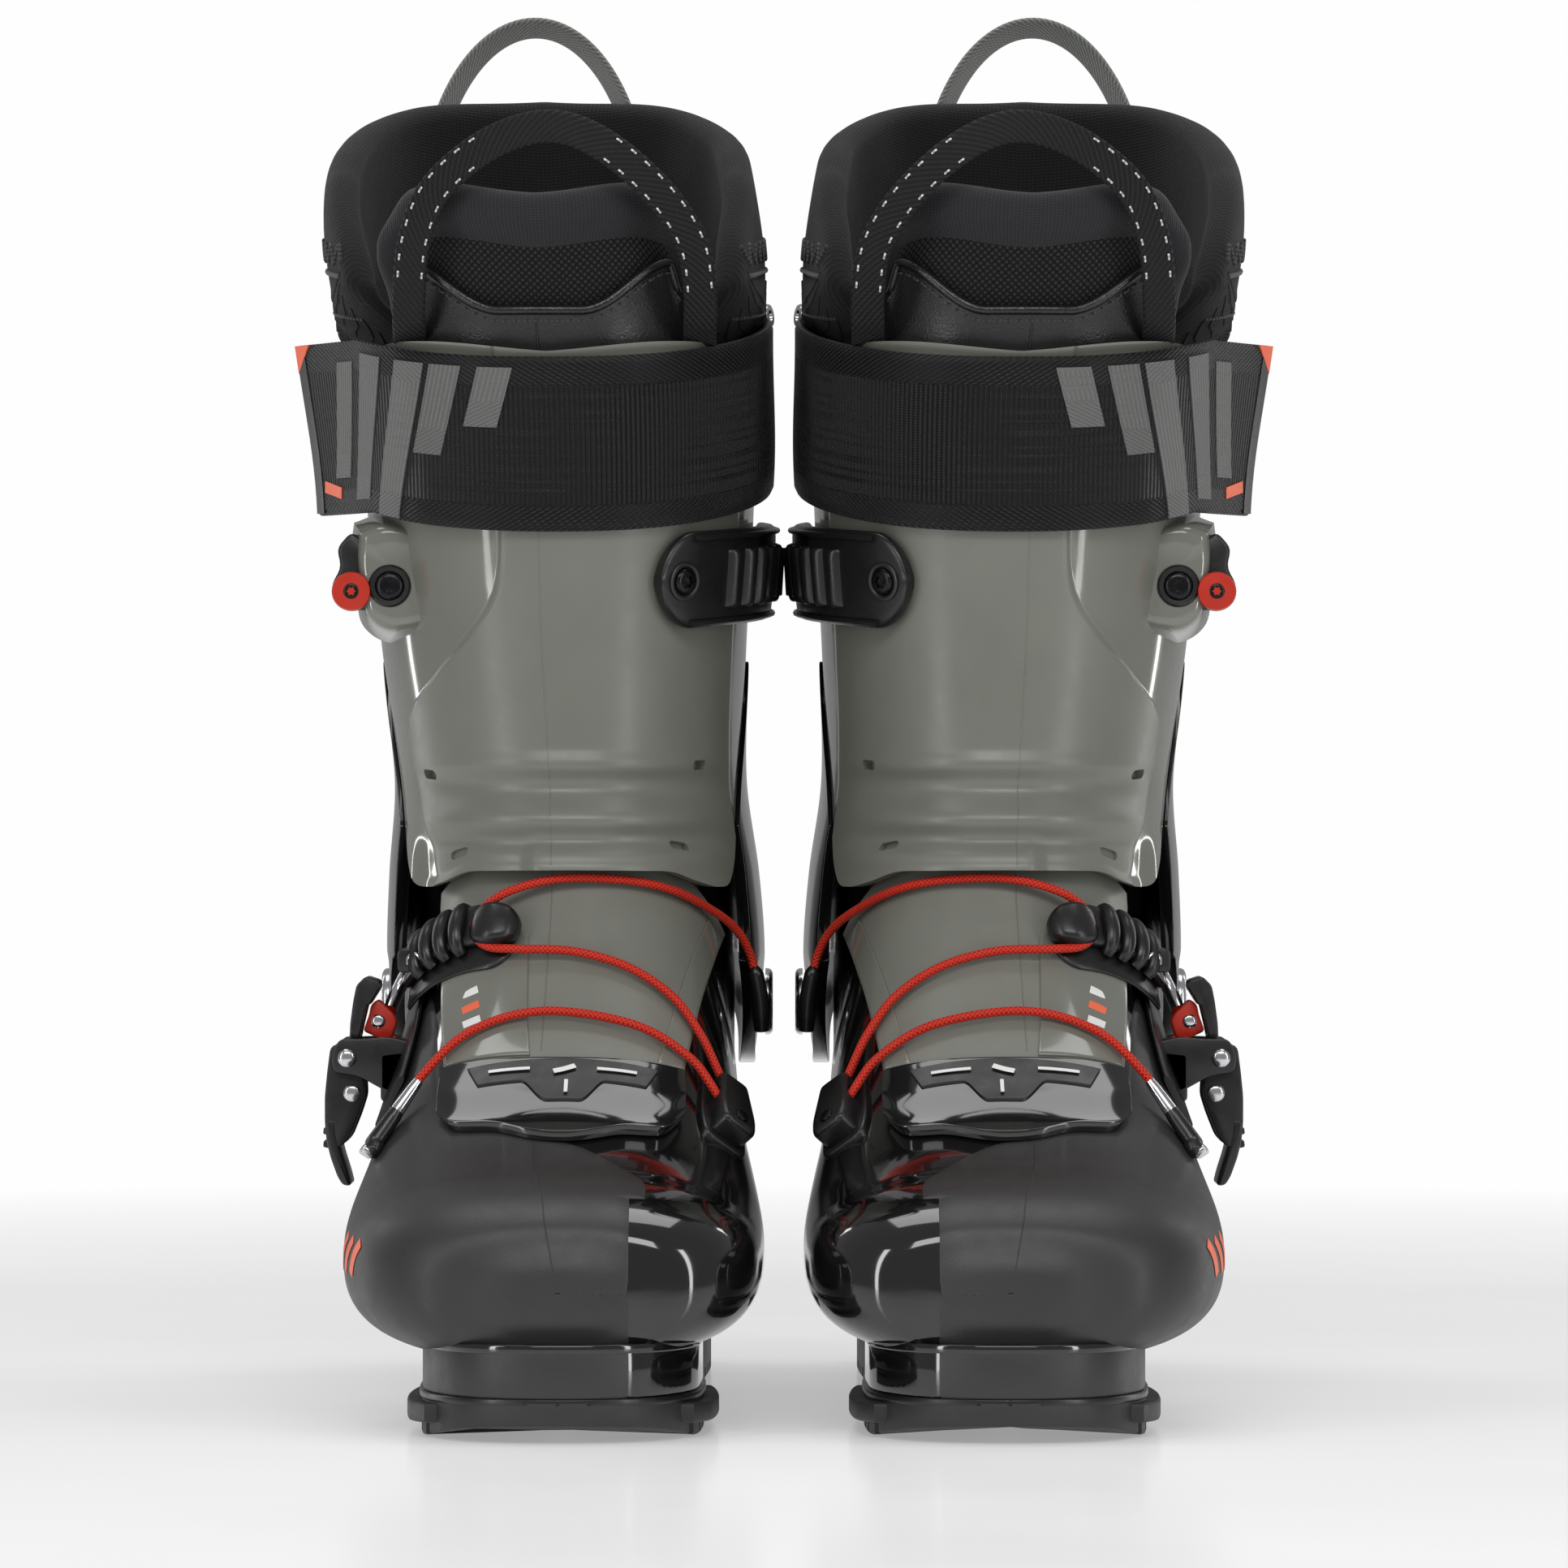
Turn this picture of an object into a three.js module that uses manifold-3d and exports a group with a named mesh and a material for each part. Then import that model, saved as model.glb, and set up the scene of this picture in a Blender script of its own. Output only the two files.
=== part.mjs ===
// A pair of alpine ski boots with a rear-opening spoiler and a cable-and-buckle instep closure.
// Millimetres, +Z up. The toes point along -Y and the wearer's right boot stands at -X.
// The origin is at the middle of the pair, on the ground. One boot is built as a right boot in its
// own frame (x = 0 on the sole's centre line, lateral side at -x), and the left boot mirrors it.
import * as THREE from 'three';
import { mergeVertices } from 'three/addons/utils/BufferGeometryUtils.js';
import Module from 'manifold-3d';

const wasm = await Module();
wasm.setup();

// ---------------------------------------------------------------- driving dimensions
const SOLE_LENGTH = 306; // toe tip to heel, on the binding interface
const FOREFOOT_WIDTH = 106; // outside of the lower shell at the ball of the foot
const CUFF_HEIGHT = 275; // ground to the front top edge of the cuff
const CUFF_WIDTH = 109.6; // outside of the cuff under the power strap
const BOOT_SPACING = FOREFOOT_WIDTH + 6; // between the two boots' centre lines

const SHELL_WALL = 4.2;
const CUFF_WALL = 3.8;
const SPOILER_WALL = 3.4;
const LINER_WALL = 6; // padding round the foot
const COLLAR_WALL = 9; // padding round the leg
const TONGUE_WALL = 9;
const FIT_GAP = 0.5; // between pieces that lie on each other
const SKIN_GAP = 0.9; // under the thin pieces that lie on a curved shell
const SWING_GAP = 2.9; // between the spoiler's wings and the cuff they slide in
const COLLAR_GAP = 1.5; // between the spoiler and the liner's collar
const SEAM_GAP = 1.2; // between the cuff's front and its base

const TOE_LUG_WIDTH = 70;
const TOE_SOLE_WIDTH = 77.6; // over the wings of the grip sole
const WAIST_WIDTH = 62;
const HEEL_WIDTH = 70;
const TOE_SOLE_HEIGHT = 10.8;
const HEEL_SOLE_HEIGHT = 15.6;
const TOE_LEDGE = 24; // top of the toe lug, where the binding holds it
const HEEL_LEDGE = 31; // top of the heel lug
const ROCKER_RISE = 3.6; // lift of the sole at the toe tip
const BOARD_THICKNESS = 4;

const ANKLE_Y = 50; // the cuff's pivot
const ANKLE_Z = 104;
const PIVOT_RADIUS = 5;
const PIVOT_HEAD_RADIUS = 9;
const PIVOT_HEAD_HEIGHT = 2;
const RUNNING_GAP = 0.35; // round every pin that something turns on

const STRAP_WIDTH = 45;
const STRAP_THICKNESS = 3;
const TAB_LENGTH = 35; // the power strap's free end
const LADDER_WIDTH = 24;
const LADDER_THICKNESS = 4.6;
const LOOP_WIDTH = 10;
const WEBBING = 1.6;
const CABLE_RADIUS = 1.2;
const FLAP_THICKNESS = 1.8;
const PLATE_THICKNESS = 3.4;
const SCREW_RADIUS = 3.6;
const LEVER_WIDTH = 20; // the instep lever, along the foot
const LEVER_WALL = 2;
const RIVET_RADIUS = 2;
const ROD_RADIUS = 2;
const REAR_LEVER_WIDTH = 40;
const REAR_LEVER_REACH = 7; // from the spoiler's back to the rear lever's pin
const EAR_WALL = 3;
const HINGE_RADIUS = 4.5; // the spoiler hinge's barrel
const HINGE_HALF = 14; // half the length of its middle knuckle
const KNUCKLE = 7;

// The profiles below are drawn at these sizes and scaled to the driving ones.
const ALONG = SOLE_LENGTH / 306;
const ACROSS_FOOT = FOREFOOT_WIDTH / 106;
const ACROSS_LEG = CUFF_WIDTH / 109.6;
const UP = CUFF_HEIGHT / 275;
const THICKER_CUFF = CUFF_WALL - 3.8;

const DEG = Math.PI / 180;
const HALF_LENGTH = SOLE_LENGTH / 2;

// ---------------------------------------------------------------- curves and surfaces
// A smooth curve through rows of [t, value, value, ...], held level past its ends.
function through(rows, t) {
  const last = rows.length - 1;
  let i = 0;
  while (i < last - 1 && t > rows[i + 1][0]) i++;
  const [a, b] = [rows[i], rows[i + 1]];
  const span = b[0] - a[0];
  const s = Math.min(1, Math.max(0, (t - a[0]) / span));
  const slope = (k, c) => {
    const [p, q] = [rows[Math.max(0, k - 1)], rows[Math.min(last, k + 1)]];
    return (q[c] - p[c]) / (q[0] - p[0]);
  };
  return a.slice(1).map((value, k) => {
    const c = k + 1;
    const [s2, s3] = [s * s, s * s * s];
    return (2 * s3 - 3 * s2 + 1) * value + (s3 - 2 * s2 + s) * span * slope(i, c)
      + (3 * s2 - 2 * s3) * b[c] + (s3 - s2) * span * slope(i + 1, c);
  });
}

const power = (v, n) => Math.sign(v) * Math.abs(v) ** (2 / n);
const mix = (a, b, t) => a + (b - a) * t;
const point = (x, y, z) => new THREE.Vector3(x, y, z);
const always = (value) => () => value;
const ordered = (a, b) => (a < b ? [a, b] : [b, a]);
// How much of the forefoot's widening, and of a thicker cuff's room, one ring of the foot takes.
const forefootShare = (ring) => Math.min(1, Math.max(0, (8 - ring) / 4));
const ankleShare = (ring) => 1 - forefootShare(ring + 1);

// The cuff's outer surface: [height, centre x, half width, front y, back y].
const LEG_ROWS = [
  [80, 0, 46, -70, 137], [100, 0, 50, -60, 135], [118, 0, 51, -55, 132], [139, -0.5, 50, -47, 127],
  [165, -1.5, 47.6, -40.5, 120], [199, -3.2, 50.2, -41, 112], [235, -4, 53, -46, 104],
  [268, -5, 54.8, -52, 98], [306, -8, 57, -60, 92], [351, -10, 56, -68, 88],
].map(([z, x, w, f, b]) => [z * UP, x, w * ACROSS_LEG, f * ALONG, b * ALONG]);
const LEG_ROUNDNESS = 2.3;

// A point of the leg surface. The angle is 0 at the front and +90 degrees on the medial side.
function leg(angle, z, offset = 0) {
  const [x, half, front, back] = through(LEG_ROWS, z);
  const middle = (front + back) / 2;
  const [s, c] = [Math.sin(angle * DEG), Math.cos(angle * DEG)];
  const reach = (c > 0 ? middle - front : back - middle) + offset;
  return point(x + power(s, LEG_ROUNDNESS) * (half + offset), middle - power(c, LEG_ROUNDNESS) * reach, z);
}

// The lower shell's outer surface, as rings that fan from the toe round the instep to the leg:
// [ring, top y, top z, bottom y, bottom z, centre x, half width, place of the widest point].
const FOOT_ROWS = [
  [0, -147, 47, -147, 27, 0, 20, 0.5], [1, -144, 54, -144.5, 22.5, 0, 33, 0.5],
  [2, -136, 60, -137, 20, 0, 42.5, 0.5], [3, -124, 64, -125, 19, -1, 48.8, 0.5],
  [4, -109, 67, -108, 18, -2, 52.2, 0.5], [5, -92, 74, -85, 18, -2, 53, 0.48],
  [6, -76, 87, -55, 18, -1.5, 51, 0.46], [7, -62, 102, -20, 18, -1, 48, 0.46],
  [8, -50, 117, 20, 18, -0.5, 45.5, 0.48], [9, -41, 131, 62, 18, 0, 43.8, 0.5],
  [10, -35, 143, 108, 21, 0, 42.8, 0.52], [11, -31, 152, 137, 34, 0, 42.6, 0.54],
  [12, -28.5, 158, 142, 56, 0, 42.6, 0.54], [13, -27, 163, 134, 82, 0, 42.6, 0.52],
  [14, -26, 167, 122, 104, 0, 41.5, 0.5], [15, -25, 171, 119, 120, 0, 41, 0.5],
].map(([n, ty, tz, by, bz, x, w, m]) => [
  n, ty * ALONG, tz * UP, by * ALONG, bz * UP, x,
  w * mix(1, ACROSS_FOOT, forefootShare(n)) - THICKER_CUFF * ankleShare(n), m,
]);
const LAST_RING = 15;
const TOP_ROUNDNESS = 2.5;
const BOTTOM_ROUNDNESS = 2.6;

// A point of the foot surface. The angle is 0 at the top and +90 degrees on the medial side.
// side moves the wall out or in, and sole moves the underside.
function foot(ring, angle, side = 0, sole = side) {
  const [ty, tz, by, bz, x, half, wide] = through(FOOT_ROWS, ring);
  const length = Math.hypot(ty - by, tz - bz);
  const [ey, ez] = [(ty - by) / length, (tz - bz) / length];
  const [s, c] = [Math.sin(angle * DEG), Math.cos(angle * DEG)];
  const n = c > 0 ? TOP_ROUNDNESS : BOTTOM_ROUNDNESS;
  const reach = c > 0 ? (1 - wide) * length + side : wide * length + sole;
  const along = wide * length + power(c, n) * reach;
  return point(x + power(s, n) * (half + side), by + ey * along, bz + ez * along);
}

// A point off a surface by a distance, along its outward normal.
function off(surface, a, b, lift) {
  const step = 0.05;
  const p = surface(a, b);
  const da = surface(a + step, b).sub(surface(a - step, b));
  const db = surface(a, b + step * 10).sub(surface(a, b - step * 10));
  const normal = da.cross(db).normalize();
  const centre = surface(a, b + 180).add(p).multiplyScalar(0.5);
  if (surface === foot && normal.dot(p.clone().sub(centre)) < 0) normal.negate();
  return p.addScaledVector(normal, lift);
}

// ---------------------------------------------------------------- solids
function geometryOf(points, triangles) {
  const g = new THREE.BufferGeometry();
  g.setAttribute('position', new THREE.Float32BufferAttribute(points.flatMap((p) => p.toArray()), 3));
  g.setIndex(triangles.flat());
  return g;
}

// A geometry as a manifold-3d solid, turned the right way out.
function solid(geometry) {
  const plain = geometry.clone();
  plain.deleteAttribute('normal');
  plain.deleteAttribute('uv');
  const merged = mergeVertices(plain, 1e-4);
  const make = (triVerts) => new wasm.Manifold(new wasm.Mesh({
    numProp: 3, vertProperties: new Float32Array(merged.attributes.position.array), triVerts,
  }));
  const faces = new Uint32Array(merged.index.array);
  const made = make(faces);
  return made.volume() > 0 ? made : make(faces.reverse());
}

function geometryOfSolid(made) {
  const m = made.getMesh();
  const g = new THREE.BufferGeometry();
  g.setAttribute('position', new THREE.BufferAttribute(m.vertProperties, 3));
  g.setIndex(new THREE.BufferAttribute(m.triVerts, 1));
  return g;
}

// A closed solid through rings of points, with flat ends.
function loft(rings) {
  const n = rings[0].length;
  const points = rings.flat();
  const triangles = [];
  for (let r = 0; r < rings.length - 1; r++) {
    for (let k = 0; k < n; k++) {
      const [a, b, c, d] = [r * n + k, r * n + ((k + 1) % n), (r + 1) * n + ((k + 1) % n), (r + 1) * n + k];
      triangles.push([a, b, c], [a, c, d]);
    }
  }
  for (const [ring, turn] of [[0, true], [rings.length - 1, false]]) {
    const middle = rings[ring].reduce((sum, p) => sum.add(p), point(0, 0, 0)).divideScalar(n);
    const m = points.push(middle) - 1;
    for (let k = 0; k < n; k++) {
      const [a, b] = [ring * n + k, ring * n + ((k + 1) % n)];
      triangles.push(turn ? [m, b, a] : [m, a, b]);
    }
  }
  return solid(geometryOf(points, triangles));
}

// A curved wall between an outer and an inner grid of points.
function wall(outer, inner) {
  const [rows, columns] = [outer.length, outer[0].length];
  const points = [...outer.flat(), ...inner.flat()];
  const at = (side, r, c) => side * rows * columns + r * columns + c;
  const triangles = [];
  const quad = (a, b, c, d) => triangles.push([a, b, c], [a, c, d]);
  for (let r = 0; r < rows - 1; r++) {
    for (let c = 0; c < columns - 1; c++) {
      quad(at(0, r, c), at(0, r, c + 1), at(0, r + 1, c + 1), at(0, r + 1, c));
      quad(at(1, r, c), at(1, r + 1, c), at(1, r + 1, c + 1), at(1, r, c + 1));
    }
    const e = columns - 1;
    quad(at(0, r, 0), at(0, r + 1, 0), at(1, r + 1, 0), at(1, r, 0));
    quad(at(0, r, e), at(1, r, e), at(1, r + 1, e), at(0, r + 1, e));
  }
  for (let c = 0; c < columns - 1; c++) {
    const e = rows - 1;
    quad(at(0, 0, c), at(1, 0, c), at(1, 0, c + 1), at(0, 0, c + 1));
    quad(at(0, e, c), at(0, e, c + 1), at(1, e, c + 1), at(1, e, c));
  }
  return solid(geometryOf(points, triangles));
}

const steps = (n) => Array.from({ length: n + 1 }, (_, i) => i / n);

// A wall on the leg surface between two angles. levels gives its rows' heights at an angle.
function legPanel({ from, to, columns, levels, outer, inner }) {
  const angles = steps(columns).map((u) => mix(from, to, u));
  const grid = (offset) => levels(from).map((_, row) => angles.map((angle) => {
    const z = levels(angle)[row];
    return leg(angle, z, offset(z, angle));
  }));
  return wall(grid(outer), grid(inner));
}
const between = (low, high, rows) => (angle) => steps(rows).map((v) => mix(low(angle), high(angle), v));

// A wall on the foot surface.
function footPanel({ low, high, from, to, outer, inner, columns, rows }) {
  const grid = (offset) => steps(rows).map((v) => steps(columns).map((u) => {
    const ring = mix(low(u), high(u), v);
    return foot(ring, mix(from(ring), to(ring), u), offset);
  }));
  return wall(grid(outer), grid(inner));
}

// A band of rectangular section along points, each {at, across, out}.
function band(path, width, thickness) {
  return loft(path.map(({ at, across, out }) => [[-1, 0], [1, 0], [1, 1], [-1, 1]].map(([w, t]) => (
    at.clone().addScaledVector(across, (w * width) / 2).addScaledVector(out, t * thickness)))));
}

// An outline in the plane of two axes, drawn out along the third.
function prism(outline, from, to, plane) {
  const drawn = outline instanceof THREE.Shape;
  const shape = drawn ? outline : new THREE.Shape(outline.map(([a, b]) => new THREE.Vector2(a, b)));
  const g = new THREE.ExtrudeGeometry(shape, { depth: to - from, bevelEnabled: false, curveSegments: 5 });
  g.translate(0, 0, from);
  const [x, y, z] = [point(1, 0, 0), point(0, 1, 0), point(0, 0, 1)];
  if (plane === 'yz') g.applyMatrix4(new THREE.Matrix4().makeBasis(y, z, x));
  if (plane === 'xz') g.applyMatrix4(new THREE.Matrix4().makeBasis(x, z, y));
  return solid(g);
}

// A round rod along a curve.
function rod(curve, radius, lengths, sides) {
  const shape = new THREE.Shape();
  shape.absarc(0, 0, radius, 0, 2 * Math.PI);
  const bend = { steps: lengths, curveSegments: sides, extrudePath: curve, bevelEnabled: false };
  return solid(new THREE.ExtrudeGeometry(shape, bend));
}

const largest = (whole) => whole.decompose().sort((a, b) => b.volume() - a.volume())[0];

// A cylinder between two ends on an axis.
function pin(axis, centre, radius, from, to, sides = 12) {
  const g = new THREE.CylinderGeometry(radius, radius, to - from, sides);
  g.translate(0, (from + to) / 2, 0);
  if (axis === 'x') g.rotateZ(-Math.PI / 2);
  g.translate(centre.x, centre.y, centre.z);
  return solid(g);
}

// ---------------------------------------------------------------- materials
const paint = (color, roughness, metalness = 0) => (
  new THREE.MeshStandardMaterial({ color, roughness, metalness }));
const GREY = paint(0x7d7e75, 0.45);
const BLACK = paint(0x1c1c1d, 0.35);
const RUBBER = paint(0x2b2b2b, 0.8);
const CLOTH = paint(0x232324, 0.95);
const WEBBING_GREY = paint(0x8d8f8b, 0.9);
const RED = paint(0xb02a12, 0.5);
const STEEL = paint(0xb8b8b8, 0.25, 1);

// ---------------------------------------------------------------- sole and lower shell
// The sole's plan outline, widened by some millimetres and with wings of their own width at the toe.
function solePlan(toeWidth) {
  const side = [
    [-HALF_LENGTH + 8, toeWidth * 0.33], [-HALF_LENGTH + 24, toeWidth * 0.46],
    [-HALF_LENGTH + 44, toeWidth / 2],
    [-HALF_LENGTH + 80, toeWidth / 2], [0, WAIST_WIDTH / 2], [HALF_LENGTH - 70, HEEL_WIDTH / 2],
    [HALF_LENGTH - 34, HEEL_WIDTH / 2], [HALF_LENGTH - 12, HEEL_WIDTH * 0.4],
    [HALF_LENGTH - 3, HEEL_WIDTH * 0.24],
  ];
  const shape = new THREE.Shape();
  shape.moveTo(0, -HALF_LENGTH);
  shape.splineThru(side.map(([y, x]) => new THREE.Vector2(x, y)));
  shape.lineTo(0, HALF_LENGTH);
  shape.lineTo(-side.at(-1)[1], side.at(-1)[0]);
  shape.splineThru(side.slice(0, -1).reverse().map(([y, x]) => new THREE.Vector2(-x, y)));
  shape.closePath();
  return shape;
}

// What the plan outline and a side profile have in common.
function soleBlock(toeWidth, profile) {
  const heights = profile.map(([, z]) => z);
  return prism(solePlan(toeWidth), Math.min(...heights) - 1, Math.max(...heights) + 1)
    .intersect(prism(profile, -FOREFOOT_WIDTH, FOREFOOT_WIDTH, 'yz'));
}

const TOE_SOLE_END = -HALF_LENGTH + 104;
const HEEL_SOLE_START = HALF_LENGTH - 94;

const toeSole = () => soleBlock(TOE_SOLE_WIDTH, [
  [-HALF_LENGTH - 1, ROCKER_RISE], [-HALF_LENGTH + 36, 0], [TOE_SOLE_END - 6, 0],
  [TOE_SOLE_END, TOE_SOLE_HEIGHT],
  [-HALF_LENGTH - 1, TOE_SOLE_HEIGHT],
]);

const heelSole = () => soleBlock(TOE_SOLE_WIDTH, [
  [HEEL_SOLE_START + 8, 0], [HALF_LENGTH + 1, 0], [HALF_LENGTH + 1, HEEL_SOLE_HEIGHT],
  [HEEL_SOLE_START, HEEL_SOLE_HEIGHT],
]);

const shellSole = () => soleBlock(TOE_LUG_WIDTH, [
  [-HALF_LENGTH - 1, TOE_SOLE_HEIGHT + FIT_GAP], [TOE_SOLE_END + FIT_GAP, TOE_SOLE_HEIGHT + FIT_GAP],
  [HEEL_SOLE_START - 14, HEEL_SOLE_HEIGHT + FIT_GAP], [HALF_LENGTH + 1, HEEL_SOLE_HEIGHT + FIT_GAP],
  [HALF_LENGTH + 1, HEEL_LEDGE], [HALF_LENGTH - 46, HEEL_LEDGE], [HALF_LENGTH - 62, TOE_LEDGE],
  [-HALF_LENGTH - 1, TOE_LEDGE],
]);

const FOOT_SIDES = 16;
const SHELL_FLOOR = FOOT_ROWS[5][4]; // height of the shell's underside at the ball of the foot
const BOARD_TOP = SHELL_FLOOR + SHELL_WALL + FIT_GAP + BOARD_THICKNESS;

// A solid of the foot surface moved in by some millimetres, from a ring to the top.
// Past the heel the underside moves in as far as the sides do.
function footSolid({ side, sole = side, from = 0, to = LAST_RING, lid = 0 }) {
  const ring = (n, shift) => steps(FOOT_SIDES).slice(1).map((t) => {
    const heel = Math.min(1, Math.max(0, (n - 9.5) / 1.5));
    const p = foot(n, 360 * t, side, mix(sole, side, heel));
    return p.add(point(0, shift * 0.3, shift));
  });
  const count = to - Math.ceil(from + 0.2) + 1;
  const at = [from, ...steps(count - 1).map((t) => mix(to - count + 1, to, t))];
  const rings = at.map((n) => ring(n, 0));
  return loft(lid ? [...rings, ring(to, lid)] : rings);
}

// A hole's core at the ankle, through both sides.
const anklePin = (radius, from, to) => pin('x', point(0, ANKLE_Y, ANKLE_Z), radius, from, to);

function lowerShell() {
  const hollow = footSolid({ side: -SHELL_WALL, from: 0.55, lid: 12 });
  const width = FOREFOOT_WIDTH;
  return footSolid({ side: 0 }).add(shellSole()).subtract(hollow)
    .subtract(anklePin(PIVOT_RADIUS + RUNNING_GAP, -width, width));
}

// Everything between two heights.
const layer = (low, high) => prism(
  [[-SOLE_LENGTH, low], [SOLE_LENGTH, low], [SOLE_LENGTH, high], [-SOLE_LENGTH, high]],
  -FOREFOOT_WIDTH, FOREFOOT_WIDTH, 'yz');

function bootBoard() {
  const room = footSolid({ side: -SHELL_WALL - SKIN_GAP, sole: -SHELL_WALL, from: 1, to: 13 });
  return room.intersect(layer(BOARD_TOP - BOARD_THICKNESS, BOARD_TOP));
}

// The liner's foot, in the shell and on the board.
function linerFoot() {
  const gap = SHELL_WALL + FIT_GAP;
  const base = BOARD_TOP + FIT_GAP - SHELL_FLOOR;
  const outside = footSolid({ side: -gap, sole: -base, from: 1, to: 14 });
  const inside = footSolid({ side: -gap - LINER_WALL, sole: -base - LINER_WALL, from: 2, to: 14, lid: 10 });
  return outside.subtract(inside).subtract(layer(0, BOARD_TOP + FIT_GAP));
}

// The overlapping flap on the instep, and the plate that seals its toe end.
const flapStart = (u) => 6.3 - 0.1 * Math.sin(Math.PI * u);
const along = (rows) => (ring) => through(rows, ring)[0];
const instepFlap = () => footPanel({
  low: flapStart, high: always(10.4), from: along([[6, -28], [7.8, -37.5], [10, -45]]),
  to: along([[6, 30], [8, 43], [10.6, 62]]), outer: SKIN_GAP + FLAP_THICKNESS, inner: SKIN_GAP, columns: 8, rows: 6,
});
const toePlate = () => footPanel({
  low: (u) => 5.3 - 0.6 * Math.sin(Math.PI * u), high: (u) => flapStart(u) - 0.06, from: always(-29), to: always(31),
  outer: SKIN_GAP + PLATE_THICKNESS, inner: SKIN_GAP, columns: 8, rows: 3,
});

// ---------------------------------------------------------------- instep closure
// The buckle sits on the lateral side, where this ring of the shell faces outwards.
const BUCKLE_RING = 8.2;
const seat = foot(BUCKLE_RING, -66);
const HINGE = point(seat.x - 15.5, seat.y, seat.z - 1.3); // the lever's pivot, along Y
const BAIL = point(HINGE.x + 1.2, HINGE.y, HINGE.z - 9.2); // the bail's pivot on the lever
const half = LEVER_WIDTH / 2;

const inXZ = (origin, outline, from, to) => prism(
  outline.map(([x, z]) => [origin.x + x, origin.z + z]), origin.y + from, origin.y + to, 'xz');
const pinY = (centre, radius, from, to) => pin('y', centre, radius, from, to, 8);

function buckleBase() {
  const ear = [[-3.5, -3.6], [3, -4.6], [18, -12], [18, 4], [4, 5], [-3.5, 3.4]];
  const plate = [[8.8, -11], [18, -14], [18, 2], [8.8, 1]];
  const outside = half + RUNNING_GAP;
  const side = (sign) => {
    const [near, far] = ordered(outside * sign, (outside + LEVER_WALL) * sign);
    const stub = ordered((outside - LEVER_WALL - 0.2) * sign, (outside + LEVER_WALL + 0.8) * sign);
    return inXZ(HINGE, ear, near, far).add(pinY(HINGE, RIVET_RADIUS, ...stub));
  };
  const whole = side(-1).add(side(1)).add(inXZ(HINGE, plate, -outside - LEVER_WALL, outside + LEVER_WALL));
  return whole.subtract(footSolid({ side: FIT_GAP }));
}

function instepLever() {
  const web = [[-5.4, -18.5], [-4.4, -25], [-1.6, -32], [0.8, -33.4], [-1.6, -24], [-2.6, -18.5]];
  const cheek = [[-4.4, 3], [-5.4, -9], [-5.2, -23], [0.6, -21], [4.6, -10], [3.4, 3.4]];
  const cheeks = [-half, half - LEVER_WALL].map((y) => inXZ(HINGE, cheek, y, y + LEVER_WALL));
  const body = inXZ(HINGE, web, -half, half).add(cheeks[0]).add(cheeks[1]);
  return body.subtract(pinY(HINGE, RIVET_RADIUS + RUNNING_GAP, -half - 1, half + 1))
    .add(pinY(BAIL, RIVET_RADIUS, -half, half));
}

// The bail: a frame from the lever's lower pin, the adjuster in its top, and the rod that holds the strap.
const FRAME_WALL = 1.8;
const frameHalf = half - LEVER_WALL - RUNNING_GAP;
function bailFrame() {
  const arm = [[-2.6, -2.8], [2.4, -2.8], [3, 6], [4.2, 9.5], [4.2, 12], [-0.6, 14], [-2.6, 6]];
  const hood = [[-0.6, 13.5], [1.5, 13.5], [3.4, 23], [6.8, 28], [3.4, 30], [1, 24]];
  const hole = pinY(BAIL, RIVET_RADIUS + RUNNING_GAP, -half, half);
  const arms = [-frameHalf, frameHalf - FRAME_WALL].map((y) => inXZ(BAIL, arm, y, y + FRAME_WALL));
  const bridge = inXZ(BAIL, [[-0.6, 12.2], [1.6, 12], [1.8, 15], [0, 15]], -frameHalf, frameHalf);
  return arms[0].add(arms[1]).add(bridge).add(inXZ(BAIL, hood, -frameHalf, frameHalf)).subtract(hole);
}

const ADJUSTER_WIDTH = 9;
const adjusterNut = () => inXZ(
  BAIL, [[2.6, 16], [8.4, 13.4], [11.4, 18.4], [6.4, 24.4], [4.2, 20.6]],
  -ADJUSTER_WIDTH / 2, ADJUSTER_WIDTH / 2);

function bailRod() {
  const start = BAIL.clone().add(point(10.2, 0, 22.8));
  const [hook, next] = [0, 0.05].map((t) => onStrap(t, STRAP_LIFT + INSTEP_STRAP_THICKNESS / 2));
  const ahead = next.sub(hook).normalize();
  const end = hook.clone().addScaledVector(ahead, -RUNNING_GAP);
  const bend = new THREE.QuadraticBezierCurve3(start, end.clone().addScaledVector(ahead, -7), end);
  return rod(bend, ROD_RADIUS, 6, 3);
}

// The ribbed strap between the bail and the cable, lying on the flap.
const STRAP_LIFT = SKIN_GAP + FLAP_THICKNESS + SKIN_GAP;
const INSTEP_STRAP_WIDTH = 17;
const INSTEP_STRAP_THICKNESS = 5;
const strapRing = (t) => mix(9, 8.6, t);
const strapAngle = (t) => mix(-51, -12, t);
const onStrap = (t, lift) => off(foot, strapRing(t), strapAngle(t), lift);

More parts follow.
